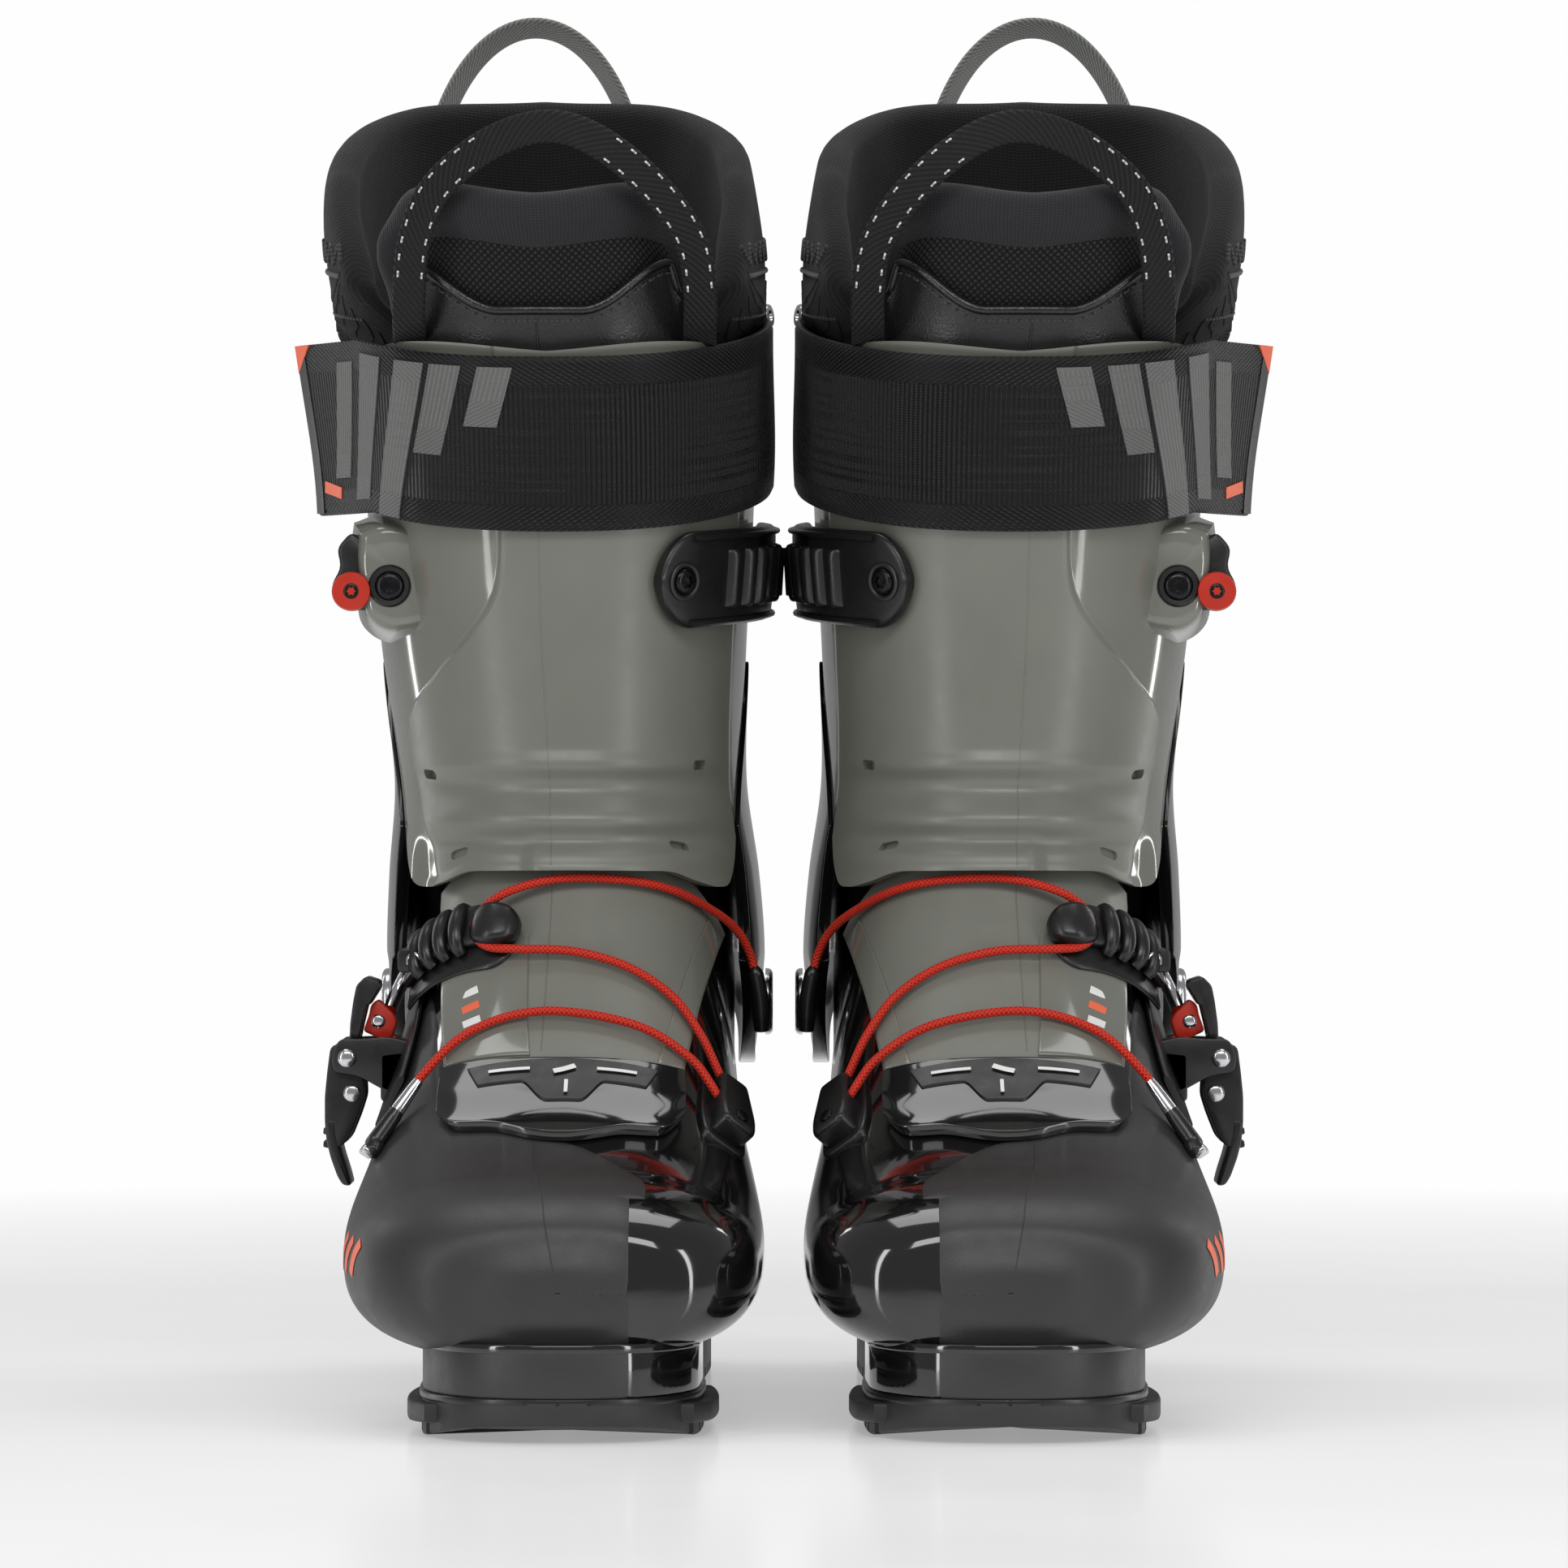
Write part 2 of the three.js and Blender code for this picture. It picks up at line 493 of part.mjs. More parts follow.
function instepStrap() {
  const path = steps(8).map((t) => {
    const at = onStrap(t, STRAP_LIFT);
    const out = onStrap(t, STRAP_LIFT + 1).sub(at);
    const forward = onStrap(t + 0.02, STRAP_LIFT).sub(onStrap(t - 0.02, STRAP_LIFT)).normalize();
    return { at, out, across: forward.clone().cross(out).normalize() };
  });
  const ribs = [2, 3.7, 5.4, 7].map((k) => {
    const [a, b] = [path[Math.floor(k)], path[Math.floor(k) + 1] ?? path[8]];
    const forward = b.at.clone().sub(a.at).normalize();
    const start = a.at.clone().addScaledVector(a.out, INSTEP_STRAP_THICKNESS - 0.5);
    const rise = [[0, 0.4], [1.6, 1], [3.6, 0.4]].map(([along, high]) => ({
      at: start.clone().addScaledVector(forward, along),
      across: a.across,
      out: a.out.clone().multiplyScalar(high),
    }));
    return band(rise, INSTEP_STRAP_WIDTH - 3, 3);
  });
  return ribs.reduce((sum, rib) => sum.add(rib), band(path, INSTEP_STRAP_WIDTH, INSTEP_STRAP_THICKNESS));
}

// The cable is held all along: from its lateral anchor over the instep to the medial guide, back to the
// strap's end, round it and over to its medial anchor. Each point is [ring, angle, lift off the shell].
const CABLE_POINTS = [
  [5.77, -56, 2.6], [6.29, -36.4, 4.8], [6.78, -21.3, 5], [6.96, -3, 5], [6.82, 16, 5], [6.55, 33, 5],
  [6.2, 42.5, 4.6], [5.95, 48, 4.2], [6, 50.6, 4.2], [6.25, 49.6, 4.4], [6.65, 44.6, 4.6],
  [7.11, 37.4, 5], [7.52, 27.5, 5], [7.8, 13.9, 5], [7.98, 1, 5.4], [8.05, -6, 7], [8.3, -10, 8.2],
  [8.75, -10, 8.4], [9.1, -7, 7.6], [9.36, 0, 6], [9.46, 12, 5], [9.62, 28, 5], [9.95, 46, 5.6],
  [10.05, 55, 7.6], [9.9, 60.5, 8.8], [9.65, 64, 9.2],
];
function cableTube(radius) {
  const points = CABLE_POINTS.map(([ring, angle, lift]) => off(foot, ring, angle, lift));
  return rod(new THREE.CatmullRomCurve3(points), radius, 46, 4);
}
const instepCable = () => cableTube(CABLE_RADIUS);

// The guide that turns the cable on the medial side: a block on the shell, open where the cable passes.
const GUIDE = { ring: 6.1, angle: 50, length: 21, width: 12, height: 8 };
function cableGuide() {
  const base = foot(GUIDE.ring, GUIDE.angle);
  const z = off(foot, GUIDE.ring, GUIDE.angle, 1).sub(base).normalize();
  const x = foot(GUIDE.ring + 0.4, GUIDE.angle).sub(foot(GUIDE.ring - 0.4, GUIDE.angle)).normalize();
  const y = z.clone().cross(x).normalize();
  const g = new THREE.BoxGeometry(GUIDE.length, GUIDE.width, GUIDE.height);
  g.translate(0, 0, GUIDE.height / 2 - 1);
  g.applyMatrix4(new THREE.Matrix4().makeBasis(y.clone().cross(z), y, z).setPosition(base));
  return largest(solid(g).subtract(cableTube(CABLE_RADIUS + 1.1)).subtract(footSolid({ side: FIT_GAP })));
}

// ---------------------------------------------------------------- cuff
const facingOf = (angle) => Math.abs(angle > 180 ? 360 - angle : angle);
const legHeight = (rows) => (angle) => through(rows.map(([a, z]) => [a, z * UP]), facingOf(angle))[0];

const cuffLow = legHeight([
  [0, 145.4], [20, 145], [30, 143.6], [40, 138.5], [50, 136], [57, 138],
  [66, 152], [76, 166], [86, 181], [95, 197], [103, 212],
]);
const cuffHigh = legHeight([[0, 275], [30, 278], [52, 277], [75, 268], [103, 262]]);
const baseLow = legHeight([[60, 134], [67, 116], [80, 94], [97, 88], [115, 100], [135, 113], [180, 118]]);
const baseOwnTop = legHeight([[60, 300], [96, 196], [108, 180], [125, 156], [150, 137], [180, 134]]);
const baseHigh = (angle) => {
  const own = baseOwnTop(angle);
  return facingOf(angle) < 96 ? Math.min(cuffLow(angle) - SEAM_GAP, own) : own - SEAM_GAP;
};
const CUFF_END = 103; // degrees round from the front

// The raised boss on the lateral side that carries the closure's link.
const BOSS = { x: [-54, -37], z: [203, 229], front: 12, depth: 34 };
function cuffBoss() {
  const z = ((BOSS.z[0] + BOSS.z[1]) / 2) * UP;
  const y = leg(-58, z).y;
  const [x0, x1] = BOSS.x.map((x) => x * ACROSS_LEG);
  const h = (BOSS.z[1] - BOSS.z[0]) / 2;
  const ring = (depth, shrink) => [[x0, -h], [x1, -h], [x1, h], [x0, h]].map(([x, dz]) => (
    point(mix(x, (x0 + x1) / 2, shrink), y + depth, z + dz * (1 - shrink))));
  return loft([ring(-BOSS.front, 0.22), ring(-BOSS.front + 4, 0), ring(BOSS.depth - BOSS.front, 0)]);
}

function cuffFront() {
  const shell = legPanel({
    from: -CUFF_END, to: CUFF_END, columns: 18, levels: between(cuffLow, cuffHigh, 4),
    outer: always(0), inner: always(-CUFF_WALL),
  });
  const inside = legPanel({
    from: -90, to: 0, columns: 8, levels: between(always(185 * UP), always(250 * UP), 2),
    outer: always(-CUFF_WALL), inner: always(-CUFF_WIDTH * 0.4),
  });
  return shell.add(cuffBoss().subtract(inside)).subtract(screwAt(BOSS_SCREW, FIT_GAP));
}

// The spoiler's hinge, across the back of the heel: a middle knuckle with its pin on the cuff's base,
// and two knuckles on the spoiler.
const SPOILER_PIVOT = point(0, leg(180, 137 * UP).y + 3, 137 * UP);
const inYZ = (origin, outline, from, to) => prism(
  outline.map(([y, z]) => [origin.y + y, origin.z + z]), from, to, 'yz');
const barrel = (radius, from, to) => pin('x', SPOILER_PIVOT, radius, from, to, 10);

function cuffBase() {
  const wallPart = legPanel({
    from: 67, to: 293, columns: 16, levels: between(baseLow, baseHigh, 3),
    outer: always(0), inner: always(-CUFF_WALL),
  });
  const outline = [[-5.2, -4], [-5.2, -12], [-1.6, -12], [3.6, -2], [0, 3]];
  const web = inYZ(SPOILER_PIVOT, outline, -HINGE_HALF, HINGE_HALF);
  const holes = anklePin(PIVOT_RADIUS + RUNNING_GAP, -CUFF_WIDTH, CUFF_WIDTH);
  return wallPart.subtract(holes).add(web).add(barrel(HINGE_RADIUS, -HINGE_HALF, HINGE_HALF))
    .add(barrel(RIVET_RADIUS, -HINGE_HALF - KNUCKLE, HINGE_HALF + KNUCKLE));
}

// A rivet through the shell and the cuff's base at one ankle.
function pivotRivet(sign) {
  const surface = leg(90, ANKLE_Z).x;
  const ends = (a, b) => ordered(a * sign, b * sign);
  const inner = foot(12, 90).x - SHELL_WALL;
  return anklePin(PIVOT_RADIUS, ...ends(inner + 1.5, surface + FIT_GAP + 0.5))
    .add(anklePin(PIVOT_HEAD_RADIUS, ...ends(surface + FIT_GAP, surface + FIT_GAP + PIVOT_HEAD_HEIGHT)));
}

// Screws that face forward: one in the boss and one in the ladder strap.
const BOSS_SCREW = point(-47.5 * ACROSS_LEG, leg(-58, 216 * UP).y - BOSS.front - 0.6, 215 * UP);
function screwAt(head, clearance = 0) {
  return pin('y', head, SCREW_RADIUS + clearance, -clearance, 3.2 + clearance, 12)
    .add(pin('y', head, SCREW_RADIUS * 0.55 + clearance, 2.5, 11 + clearance, 10));
}

// The link from the boss to the rear lever, along the lateral side.
const LINK_WIDTH = 15;
function closureLink() {
  const z = 217 * UP;
  const legAt = (angle, height) => leg(angle, height);
  const stops = [[-72, 3.6], [-80, 2.6], [-90, 2.2], [-100, 2.2], [-112, 2.6]];
  const path = stops.map(([angle, lift]) => {
    const at = off(legAt, angle, z + (angle + 72) * -0.12, lift);
    const out = off(legAt, angle, z, lift + 1).sub(off(legAt, angle, z, lift)).setZ(0).normalize();
    return { at, out: out.x > 0 ? out.negate() : out, across: point(0, 0, 1) };
  });
  return largest(band(path, LINK_WIDTH, 5).subtract(cuffBoss()));
}

// A level normal of the leg surface.
function legOut(angle, z) {
  const [p, q] = [leg(angle - 0.5, z), leg(angle + 0.5, z)];
  const out = point(q.y - p.y, p.x - q.x, 0).normalize();
  const middle = point(0, (leg(0, z).y + leg(180, z).y) / 2, z);
  return out.dot(leg(angle, z).sub(middle)) < 0 ? out.negate() : out;
}

// The power strap: round the cuff's front, rising to the sides, with its free end standing off laterally.
const STRAP_FRONT = 251;
const strapHeight = (angle) => (STRAP_FRONT + 13 * (1 - Math.cos(angle * DEG))) * UP;
const STRAP_GAP = 1;
function powerStrap() {
  const grid = (offset) => steps(3).map((v) => {
    const row = steps(16).map((u) => {
      const angle = mix(100, -58, u);
      return leg(angle, strapHeight(angle) + (v - 0.5) * STRAP_WIDTH, offset);
    });
    const [before, end] = row.slice(-2);
    const away = end.clone().sub(before).setZ(0).normalize();
    return [...row, end.clone().addScaledVector(away, TAB_LENGTH)];
  });
  return wall(grid(STRAP_GAP + STRAP_THICKNESS), grid(STRAP_GAP));
}

// The ladder strap on the medial side, with its teeth towards the back.
const LADDER_FROM = 26;
const LADDER_TO = 106;
const ladderHeight = (angle) => (216 + (angle - LADDER_FROM) * 0.07) * UP;
const ladderPart = (from, to, width, outer, inner, columns) => legPanel({
  from, to, columns, levels: (angle) => [ladderHeight(angle) - width / 2, ladderHeight(angle) + width / 2],
  outer: always(outer), inner: always(inner),
});
function ladderStrap() {
  const top = SKIN_GAP + LADDER_THICKNESS;
  const tooth = (angle) => ladderPart(angle, angle + 3.4, LADDER_WIDTH - 8, top + 1.2, top - 1, 1);
  const body = ladderPart(LADDER_FROM, LADDER_TO, LADDER_WIDTH, top, SKIN_GAP, 10);
  return [52, 60, 68, 76, 84].reduce((sum, angle) => sum.add(tooth(angle)), body)
    .subtract(ladderScrew(FIT_GAP));
}
function ladderScrew(clearance = 0) {
  const z = ladderHeight(33);
  const out = legOut(33, z);
  const at = leg(33, z).addScaledVector(out, SKIN_GAP + LADDER_THICKNESS + 0.8);
  const g = new THREE.CylinderGeometry(SCREW_RADIUS + clearance, SCREW_RADIUS + clearance, 3 + clearance, 12);
  g.translate(0, -(3 + clearance) / 2, 0);
  g.applyQuaternion(new THREE.Quaternion().setFromUnitVectors(point(0, 1, 0), out));
  g.translate(at.x, at.y, at.z);
  return solid(g);
}

// ---------------------------------------------------------------- spoiler and rear lever
const spoilerLow = legHeight([[94, 176], [110, 152], [135, 142], [180, 139]]);
const spoilerHigh = legHeight([[94, 262], [115, 285], [140, 296], [180, 300]]);
const SPOILER_OUT = -CUFF_WALL - SWING_GAP;
const REAR_PIN = leg(180, 206 * UP).add(point(0, SPOILER_OUT + REAR_LEVER_REACH, 0));
const onRearPin = (outline, from, to) => inYZ(REAR_PIN, outline, REAR_PIN.x + from, REAR_PIN.x + to);
const rearPin = (radius, from, to) => pin('x', REAR_PIN, radius, from, to, 8);

function rearSpoiler() {
  const plate = legPanel({
    from: 94, to: 266, columns: 12, levels: between(spoilerLow, spoilerHigh, 4),
    outer: always(SPOILER_OUT), inner: always(SPOILER_OUT - SPOILER_WALL),
  });
  const reach = SPOILER_OUT - 9; // to the spoiler's wall, which curves away from the hinge
  const web = [[-3, -2.4], [3.4, 2], [-4, 9], [reach, 16], [reach, 6]];
  const ear = [[-14.6, -7], [-14.6, 9], [0, 4.5], [4, 0], [3, -4], [-2, -6]];
  const bore = barrel(RIVET_RADIUS + RUNNING_GAP, -CUFF_WIDTH, CUFF_WIDTH);
  const pinHole = rearPin(RIVET_RADIUS + RUNNING_GAP, -REAR_LEVER_WIDTH, REAR_LEVER_WIDTH);
  const sides = [-1, 1].map((side) => {
    const [near, far] = ordered((HINGE_HALF + RUNNING_GAP) * side, (HINGE_HALF + KNUCKLE) * side);
    const inside = REAR_LEVER_WIDTH / 2 + RUNNING_GAP;
    const [start, end] = ordered(inside * side, (inside + EAR_WALL) * side);
    const knuckle = inYZ(SPOILER_PIVOT, web, near, far).add(barrel(HINGE_RADIUS, near, far)).subtract(bore);
    return knuckle.add(onRearPin(ear, start, end).subtract(pinHole));
  });
  return plate.add(sides[0]).add(sides[1]);
}

function rearLever() {
  const side = REAR_LEVER_WIDTH / 2;
  const profile = [
    [-2.8, -3.2], [2.8, -3.2], [3.4, 2], [-7, 46], [-5, 53], [-8, 54], [-11.5, 44], [-2.8, 2],
  ];
  return onRearPin(profile, -side, side).add(rearPin(RIVET_RADIUS, -side - EAR_WALL, side + EAR_WALL));
}

// ---------------------------------------------------------------- liner
// The collar lies against the spoiler and swells outwards above the cuff's rim.
const collarLow = legHeight([[60, 178], [90, 158], [120, 142], [180, 135]]);
const collarHigh = legHeight([[60, 296], [75, 312], [100, 334], [140, 348], [180, 351]]);
const COLLAR_OUT = SPOILER_OUT - SPOILER_WALL - COLLAR_GAP;
const SWELL = 20; // the height over which it swells
function rimHeight(angle) {
  return (facingOf(angle) < 86 ? cuffHigh(angle) : spoilerHigh(angle)) + 4 * UP;
}
function collarOut(z, angle) {
  const swollen = (z - rimHeight(angle)) / (SWELL * UP);
  return COLLAR_OUT * (1 - Math.min(1, Math.max(0, swollen)));
}
const linerCollar = () => legPanel({
  from: 60, to: 300, columns: 16,
  levels: (angle) => {
    const [low, rim] = [collarLow(angle), rimHeight(angle)];
    return [...steps(4).map((v) => mix(low, rim, v)), rim + (SWELL * UP) / 2, rim + SWELL * UP, collarHigh(angle)];
  },
  outer: collarOut, inner: (z, angle) => Math.min(collarOut(z, angle) - COLLAR_WALL, -8),
});

const tongueHigh = legHeight([[0, 316], [36, 318], [50, 304]]);
const linerTongue = () => legPanel({
  from: -50, to: 50, columns: 10, levels: between(always(178 * UP), tongueHigh, 5),
  outer: always(-CUFF_WALL - SKIN_GAP), inner: always(-CUFF_WALL - SKIN_GAP - TONGUE_WALL),
});

// A webbing loop standing up from two feet: half of an ellipse in a leaning plane.
function loop({ centre, half: reach, rise, lean, across, width }) {
  const path = steps(14).map((t) => {
    const turn = Math.PI * (1 - t);
    const [c, s] = [Math.cos(turn), Math.sin(turn)];
    const out = point(c * rise, -s * lean, s * reach).normalize();
    return { at: centre.clone().add(point(c * reach, s * lean, s * rise)), out, across };
  });
  return band(path, width, WEBBING);
}
function tongueLoop() {
  const z = 286 * UP;
  return loop({
    centre: leg(0, z).add(point(0, -STRAP_GAP - STRAP_THICKNESS - 1, 0)),
    half: 40 * ACROSS_LEG, rise: 50, lean: -6,
    across: point(0, 0.35, 0.94).normalize(), width: LOOP_WIDTH,
  });
}
function rearLoop() {
  const z = 318 * UP;
  return loop({
    centre: leg(180, z).add(point(-1, 2.5, 0)), half: 28, rise: 56, lean: 2,
    across: point(0, 0.99, 0.12).normalize(), width: 12,
  });
}

// ---------------------------------------------------------------- assembly
const PIECES = [
  ['lower_shell', lowerShell, BLACK],
  ['instep_flap', instepFlap, GREY],
  ['toe_plate', toePlate, BLACK],
  ['toe_sole', toeSole, RUBBER],
  ['heel_sole', heelSole, RUBBER],
  ['boot_board', bootBoard, RUBBER],
  ['liner_foot', linerFoot, CLOTH],
  ['buckle_base', buckleBase, BLACK],
  ['instep_lever', instepLever, BLACK],
  ['bail_frame', bailFrame, BLACK],
  ['adjuster_nut', adjusterNut, RED],
  ['bail_rod', bailRod, STEEL],
  ['instep_strap', instepStrap, BLACK],
  ['instep_cable', instepCable, RED],
  ['cable_guide', cableGuide, BLACK],
  ['cuff_front', cuffFront, GREY],
  ['cuff_base', cuffBase, BLACK],
  ['lateral_pivot_rivet', () => pivotRivet(-1), STEEL],
  ['medial_pivot_rivet', () => pivotRivet(1), STEEL],
  ['boss_screw', () => screwAt(BOSS_SCREW), STEEL],
  ['closure_link', closureLink, RED],
  ['power_strap', powerStrap, CLOTH],
  ['ladder_strap', ladderStrap, BLACK],
  ['ladder_screw', ladderScrew, STEEL],
  ['rear_spoiler', rearSpoiler, BLACK],
  ['rear_lever', rearLever, BLACK],
  ['liner_collar', linerCollar, CLOTH],
  ['liner_tongue', linerTongue, CLOTH],
  ['tongue_loop', tongueLoop, CLOTH],
  ['rear_loop', rearLoop, WEBBING_GREY],
];

function boot(side) {
  const group = new THREE.Group();
  for (const [name, build, material] of PIECES) {
    const mesh = new THREE.Mesh(geometryOfSolid(build()), material);
    mesh.name = `${side}_${name}`;
    group.add(mesh);
  }
  return group;
}

const pair = new THREE.Group();
const right = boot('right');
right.position.x = -BOOT_SPACING / 2;
const left = boot('left');
left.scale.x = -1;
left.position.x = BOOT_SPACING / 2;
pair.add(right, left);

export default pair;
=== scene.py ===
# The looks of a pair of alpine ski boots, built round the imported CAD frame.
# Shapes are written in millimetres in one boot's own frame: a right boot, x = 0 on its sole's centre
# line, lateral side at -x, toes along -Y. put() makes each piece for both boots, the left one mirrored.
import bpy
import bmesh
import math
import numpy as np
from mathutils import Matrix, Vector


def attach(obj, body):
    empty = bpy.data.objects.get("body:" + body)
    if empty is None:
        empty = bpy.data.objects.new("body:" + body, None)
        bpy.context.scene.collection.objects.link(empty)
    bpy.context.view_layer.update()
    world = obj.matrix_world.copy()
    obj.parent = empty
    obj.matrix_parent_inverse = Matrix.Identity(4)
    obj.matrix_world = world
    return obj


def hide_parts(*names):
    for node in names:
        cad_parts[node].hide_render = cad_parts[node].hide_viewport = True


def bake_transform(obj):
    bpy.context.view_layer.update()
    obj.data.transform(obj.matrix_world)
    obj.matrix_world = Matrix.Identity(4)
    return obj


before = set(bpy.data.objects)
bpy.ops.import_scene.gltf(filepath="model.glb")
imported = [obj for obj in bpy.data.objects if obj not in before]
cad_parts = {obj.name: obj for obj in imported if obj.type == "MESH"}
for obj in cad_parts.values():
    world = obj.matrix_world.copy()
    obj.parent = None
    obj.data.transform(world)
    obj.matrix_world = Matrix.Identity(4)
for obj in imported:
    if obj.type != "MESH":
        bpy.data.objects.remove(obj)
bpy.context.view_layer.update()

MM = 0.001
AMBIENT = 0.3  # how strongly the white room lights the boots
SPACING = 56.0  # from the middle of the pair to one boot's centre line
SIDES = ("right", "left")


# ---------------------------------------------------------------- camera, floor and light
def studio():
    cam = bpy.data.cameras.new("camera")
    cam.sensor_width = 36
    cam.lens = 186.3
    cam.clip_end = 60
    eye = bpy.data.objects.new("camera", cam)
    bpy.context.scene.collection.objects.link(eye)
    eye.location = (0, -2.153, 0.163)
    eye.rotation_euler = (math.radians(90), 0, 0)
    bpy.context.scene.camera = eye
    world = bpy.data.worlds.new("studio")
    bpy.context.scene.world = world
    world.use_nodes = True
    nodes, links = world.node_tree.nodes, world.node_tree.links
    seen = nodes.new("ShaderNodeLightPath")
    share = nodes.new("ShaderNodeMapRange")
    links.new(seen.outputs["Is Camera Ray"], share.inputs[0])
    share.inputs[3].default_value, share.inputs[4].default_value = AMBIENT, 0.99
    links.new(share.outputs[0], nodes["Background"].inputs[1])
    nodes["Background"].inputs[0].default_value = (1, 1, 1, 1)
    bpy.context.scene.view_settings.view_transform = "Standard"
    for name, place, aim, size, power in (
        ("strip_left", (-1.1, -1.1, 0.45), (0, 0, 0.17), (0.14, 1.4), 5.5),
        ("strip_right", (1.1, -1.1, 0.45), (0, 0, 0.17), (0.14, 1.4), 5.5),
        ("front_top", (0, -1.5, 1.25), (0, 0, 0.15), (1.2, 0.45), 10.5),
        ("top", (0, 0.1, 1.5), (0, 0, 0.1), (1.2, 0.6), 7),
        ("rim_left", (-1.0, 0.75, 0.4), (0, 0, 0.2), (0.08, 1.3), 2.2),
        ("rim_right", (1.0, 0.75, 0.4), (0, 0, 0.2), (0.08, 1.3), 2.2),
    ):
        light = bpy.data.lights.new(name, "AREA")
        light.shape = "RECTANGLE"
        light.size, light.size_y = size
        light.energy = power
        lamp = bpy.data.objects.new(name, light)
        bpy.context.scene.collection.objects.link(lamp)
        lamp.location = place
        lamp.rotation_euler = (Vector(aim) - Vector(place)).to_track_quat("-Z", "Y").to_euler()


studio()


# ---------------------------------------------------------------- surfaces of the boot
def through(rows, t):
    """A smooth curve through rows of [t, value, ...], held level past its ends."""
    rows = np.asarray(rows, float)
    t = np.asarray(t, float)
    last = len(rows) - 1
    i = np.clip(np.searchsorted(rows[:, 0], t, side="left") - 1, 0, last - 1)
    a, b = rows[i], rows[i + 1]
    span = b[..., 0] - a[..., 0]
    s = np.clip((t - a[..., 0]) / span, 0, 1)
    before, after = np.maximum(np.arange(last + 1) - 1, 0), np.minimum(np.arange(last + 1) + 1, last)
    slope = (rows[after, 1:] - rows[before, 1:]) / (rows[after, :1] - rows[before, :1])
    s, span = s[..., None], span[..., None]
    s2, s3 = s * s, s * s * s
    return ((2 * s3 - 3 * s2 + 1) * a[..., 1:] + (s3 - 2 * s2 + s) * span * slope[i]
            + (3 * s2 - 2 * s3) * b[..., 1:] + (s3 - s2) * span * slope[i + 1])


def curve(rows, t):
    return through(rows, t)[..., 0]


def power(v, n):
    return np.sign(v) * np.abs(v) ** (2 / n)


def mix(a, b, t):
    return a + (b - a) * t


def smooth(low, high, v):
    t = np.clip((np.asarray(v, float) - low) / (high - low), 0, 1)
    return t * t * (3 - 2 * t)


def bump(centre, width, v):
    return np.exp(-(((np.asarray(v, float) - centre) / width) ** 2))


def xyz(*parts):
    return np.stack(np.broadcast_arrays(*parts), -1)


# [height, centre x, half width, front y, back y]
LEG_ROWS = [
    [80, 0, 46, -70, 137], [100, 0, 50, -60, 135], [118, 0, 51, -55, 132], [139, -0.5, 50, -47, 127],
    [165, -1.5, 47.6, -40.5, 120], [199, -3.2, 50.2, -41, 112], [235, -4, 53, -46, 104],
    [268, -5, 54.8, -52, 98], [306, -8, 57, -60, 92], [351, -10, 56, -68, 88],
]
# [ring, top y, top z, bottom y, bottom z, centre x, half width, place of the widest point]
FOOT_ROWS = [
    [-1, -149.3, 37.04, -149.3, 36.96, 0, 0.08, 0.5], [-0.6, -148.9, 42.5, -148.9, 31, 0, 11, 0.5],
    [0, -147, 47.4, -147, 26.6, 0, 20.5, 0.5], [1, -144, 54, -144.5, 22.5, 0, 33, 0.5],
    [2, -136, 60, -137, 20, 0, 42.5, 0.5],
    [3, -124, 64, -125, 19, -1, 48.8, 0.5], [4, -109, 67, -108, 18, -2, 52.2, 0.5],
    [5, -92, 74, -85, 18, -2, 53, 0.48], [6, -76, 87, -55, 18, -1.5, 51, 0.46],
    [7, -62, 102, -20, 18, -1, 48, 0.46], [8, -50, 117, 20, 18, -0.5, 45.5, 0.48],
    [9, -41, 131, 62, 18, 0, 43.8, 0.5], [10, -35, 143, 108, 21, 0, 42.8, 0.52],
    [11, -31, 152, 137, 34, 0, 42.6, 0.54], [12, -28.5, 158, 142, 56, 0, 42.6, 0.54],
    [13, -27, 163, 134, 82, 0, 42.6, 0.52], [14, -26, 167, 122, 104, 0, 41.5, 0.5],
    [15, -25, 171, 119, 120, 0, 41, 0.5],
]


def leg(angle, z, offset=0.0):
    """A point of the cuff's outer surface: angle 0 in front, +90 on the medial side."""
    angle, z, offset = np.broadcast_arrays(np.asarray(angle, float), np.asarray(z, float),
                                           np.asarray(offset, float))
    x, half, front, back = np.moveaxis(through(LEG_ROWS, z), -1, 0)
    middle = (front + back) / 2
    s, c = np.sin(np.radians(angle)), np.cos(np.radians(angle))
    reach = np.where(c > 0, middle - front, back - middle) + offset
    return xyz(x + power(s, 2.3) * (half + offset), middle - power(c, 2.3) * reach, z)


def foot(ring, angle, side=0.0, sole=None):
    """A point of the lower shell's outer surface: angle 0 on top, +90 on the medial side."""
    sole = side if sole is None else sole
    ring, angle, side, sole = np.broadcast_arrays(*(np.asarray(v, float) for v in (ring, angle, side, sole)))
    ty, tz, by, bz, x, half, wide = np.moveaxis(through(FOOT_ROWS, ring), -1, 0)
    length = np.hypot(ty - by, tz - bz)
    ey, ez = (ty - by) / length, (tz - bz) / length
    s, c = np.sin(np.radians(angle)), np.cos(np.radians(angle))
    n = np.where(c > 0, 2.5, 2.6)
    reach = np.where(c > 0, (1 - wide) * length + side, wide * length + sole)
    along = wide * length + power(c, n) * reach
    return xyz(x + power(s, n) * (half + side), by + ey * along, bz + ez * along)


def unit(v):
    return v / np.maximum(np.linalg.norm(v, axis=-1, keepdims=True), 1e-12)


def foot_out(ring, angle):
    turn = foot(ring, np.asarray(angle) + 0.5) - foot(ring, np.asarray(angle) - 0.5)
    on = foot(np.asarray(ring) + 0.05, angle) - foot(np.asarray(ring) - 0.05, angle)
    return unit(np.cross(turn, on))


def on_foot(ring, angle, lift):
    return foot(ring, angle) + foot_out(ring, angle) * np.asarray(lift)[..., None]


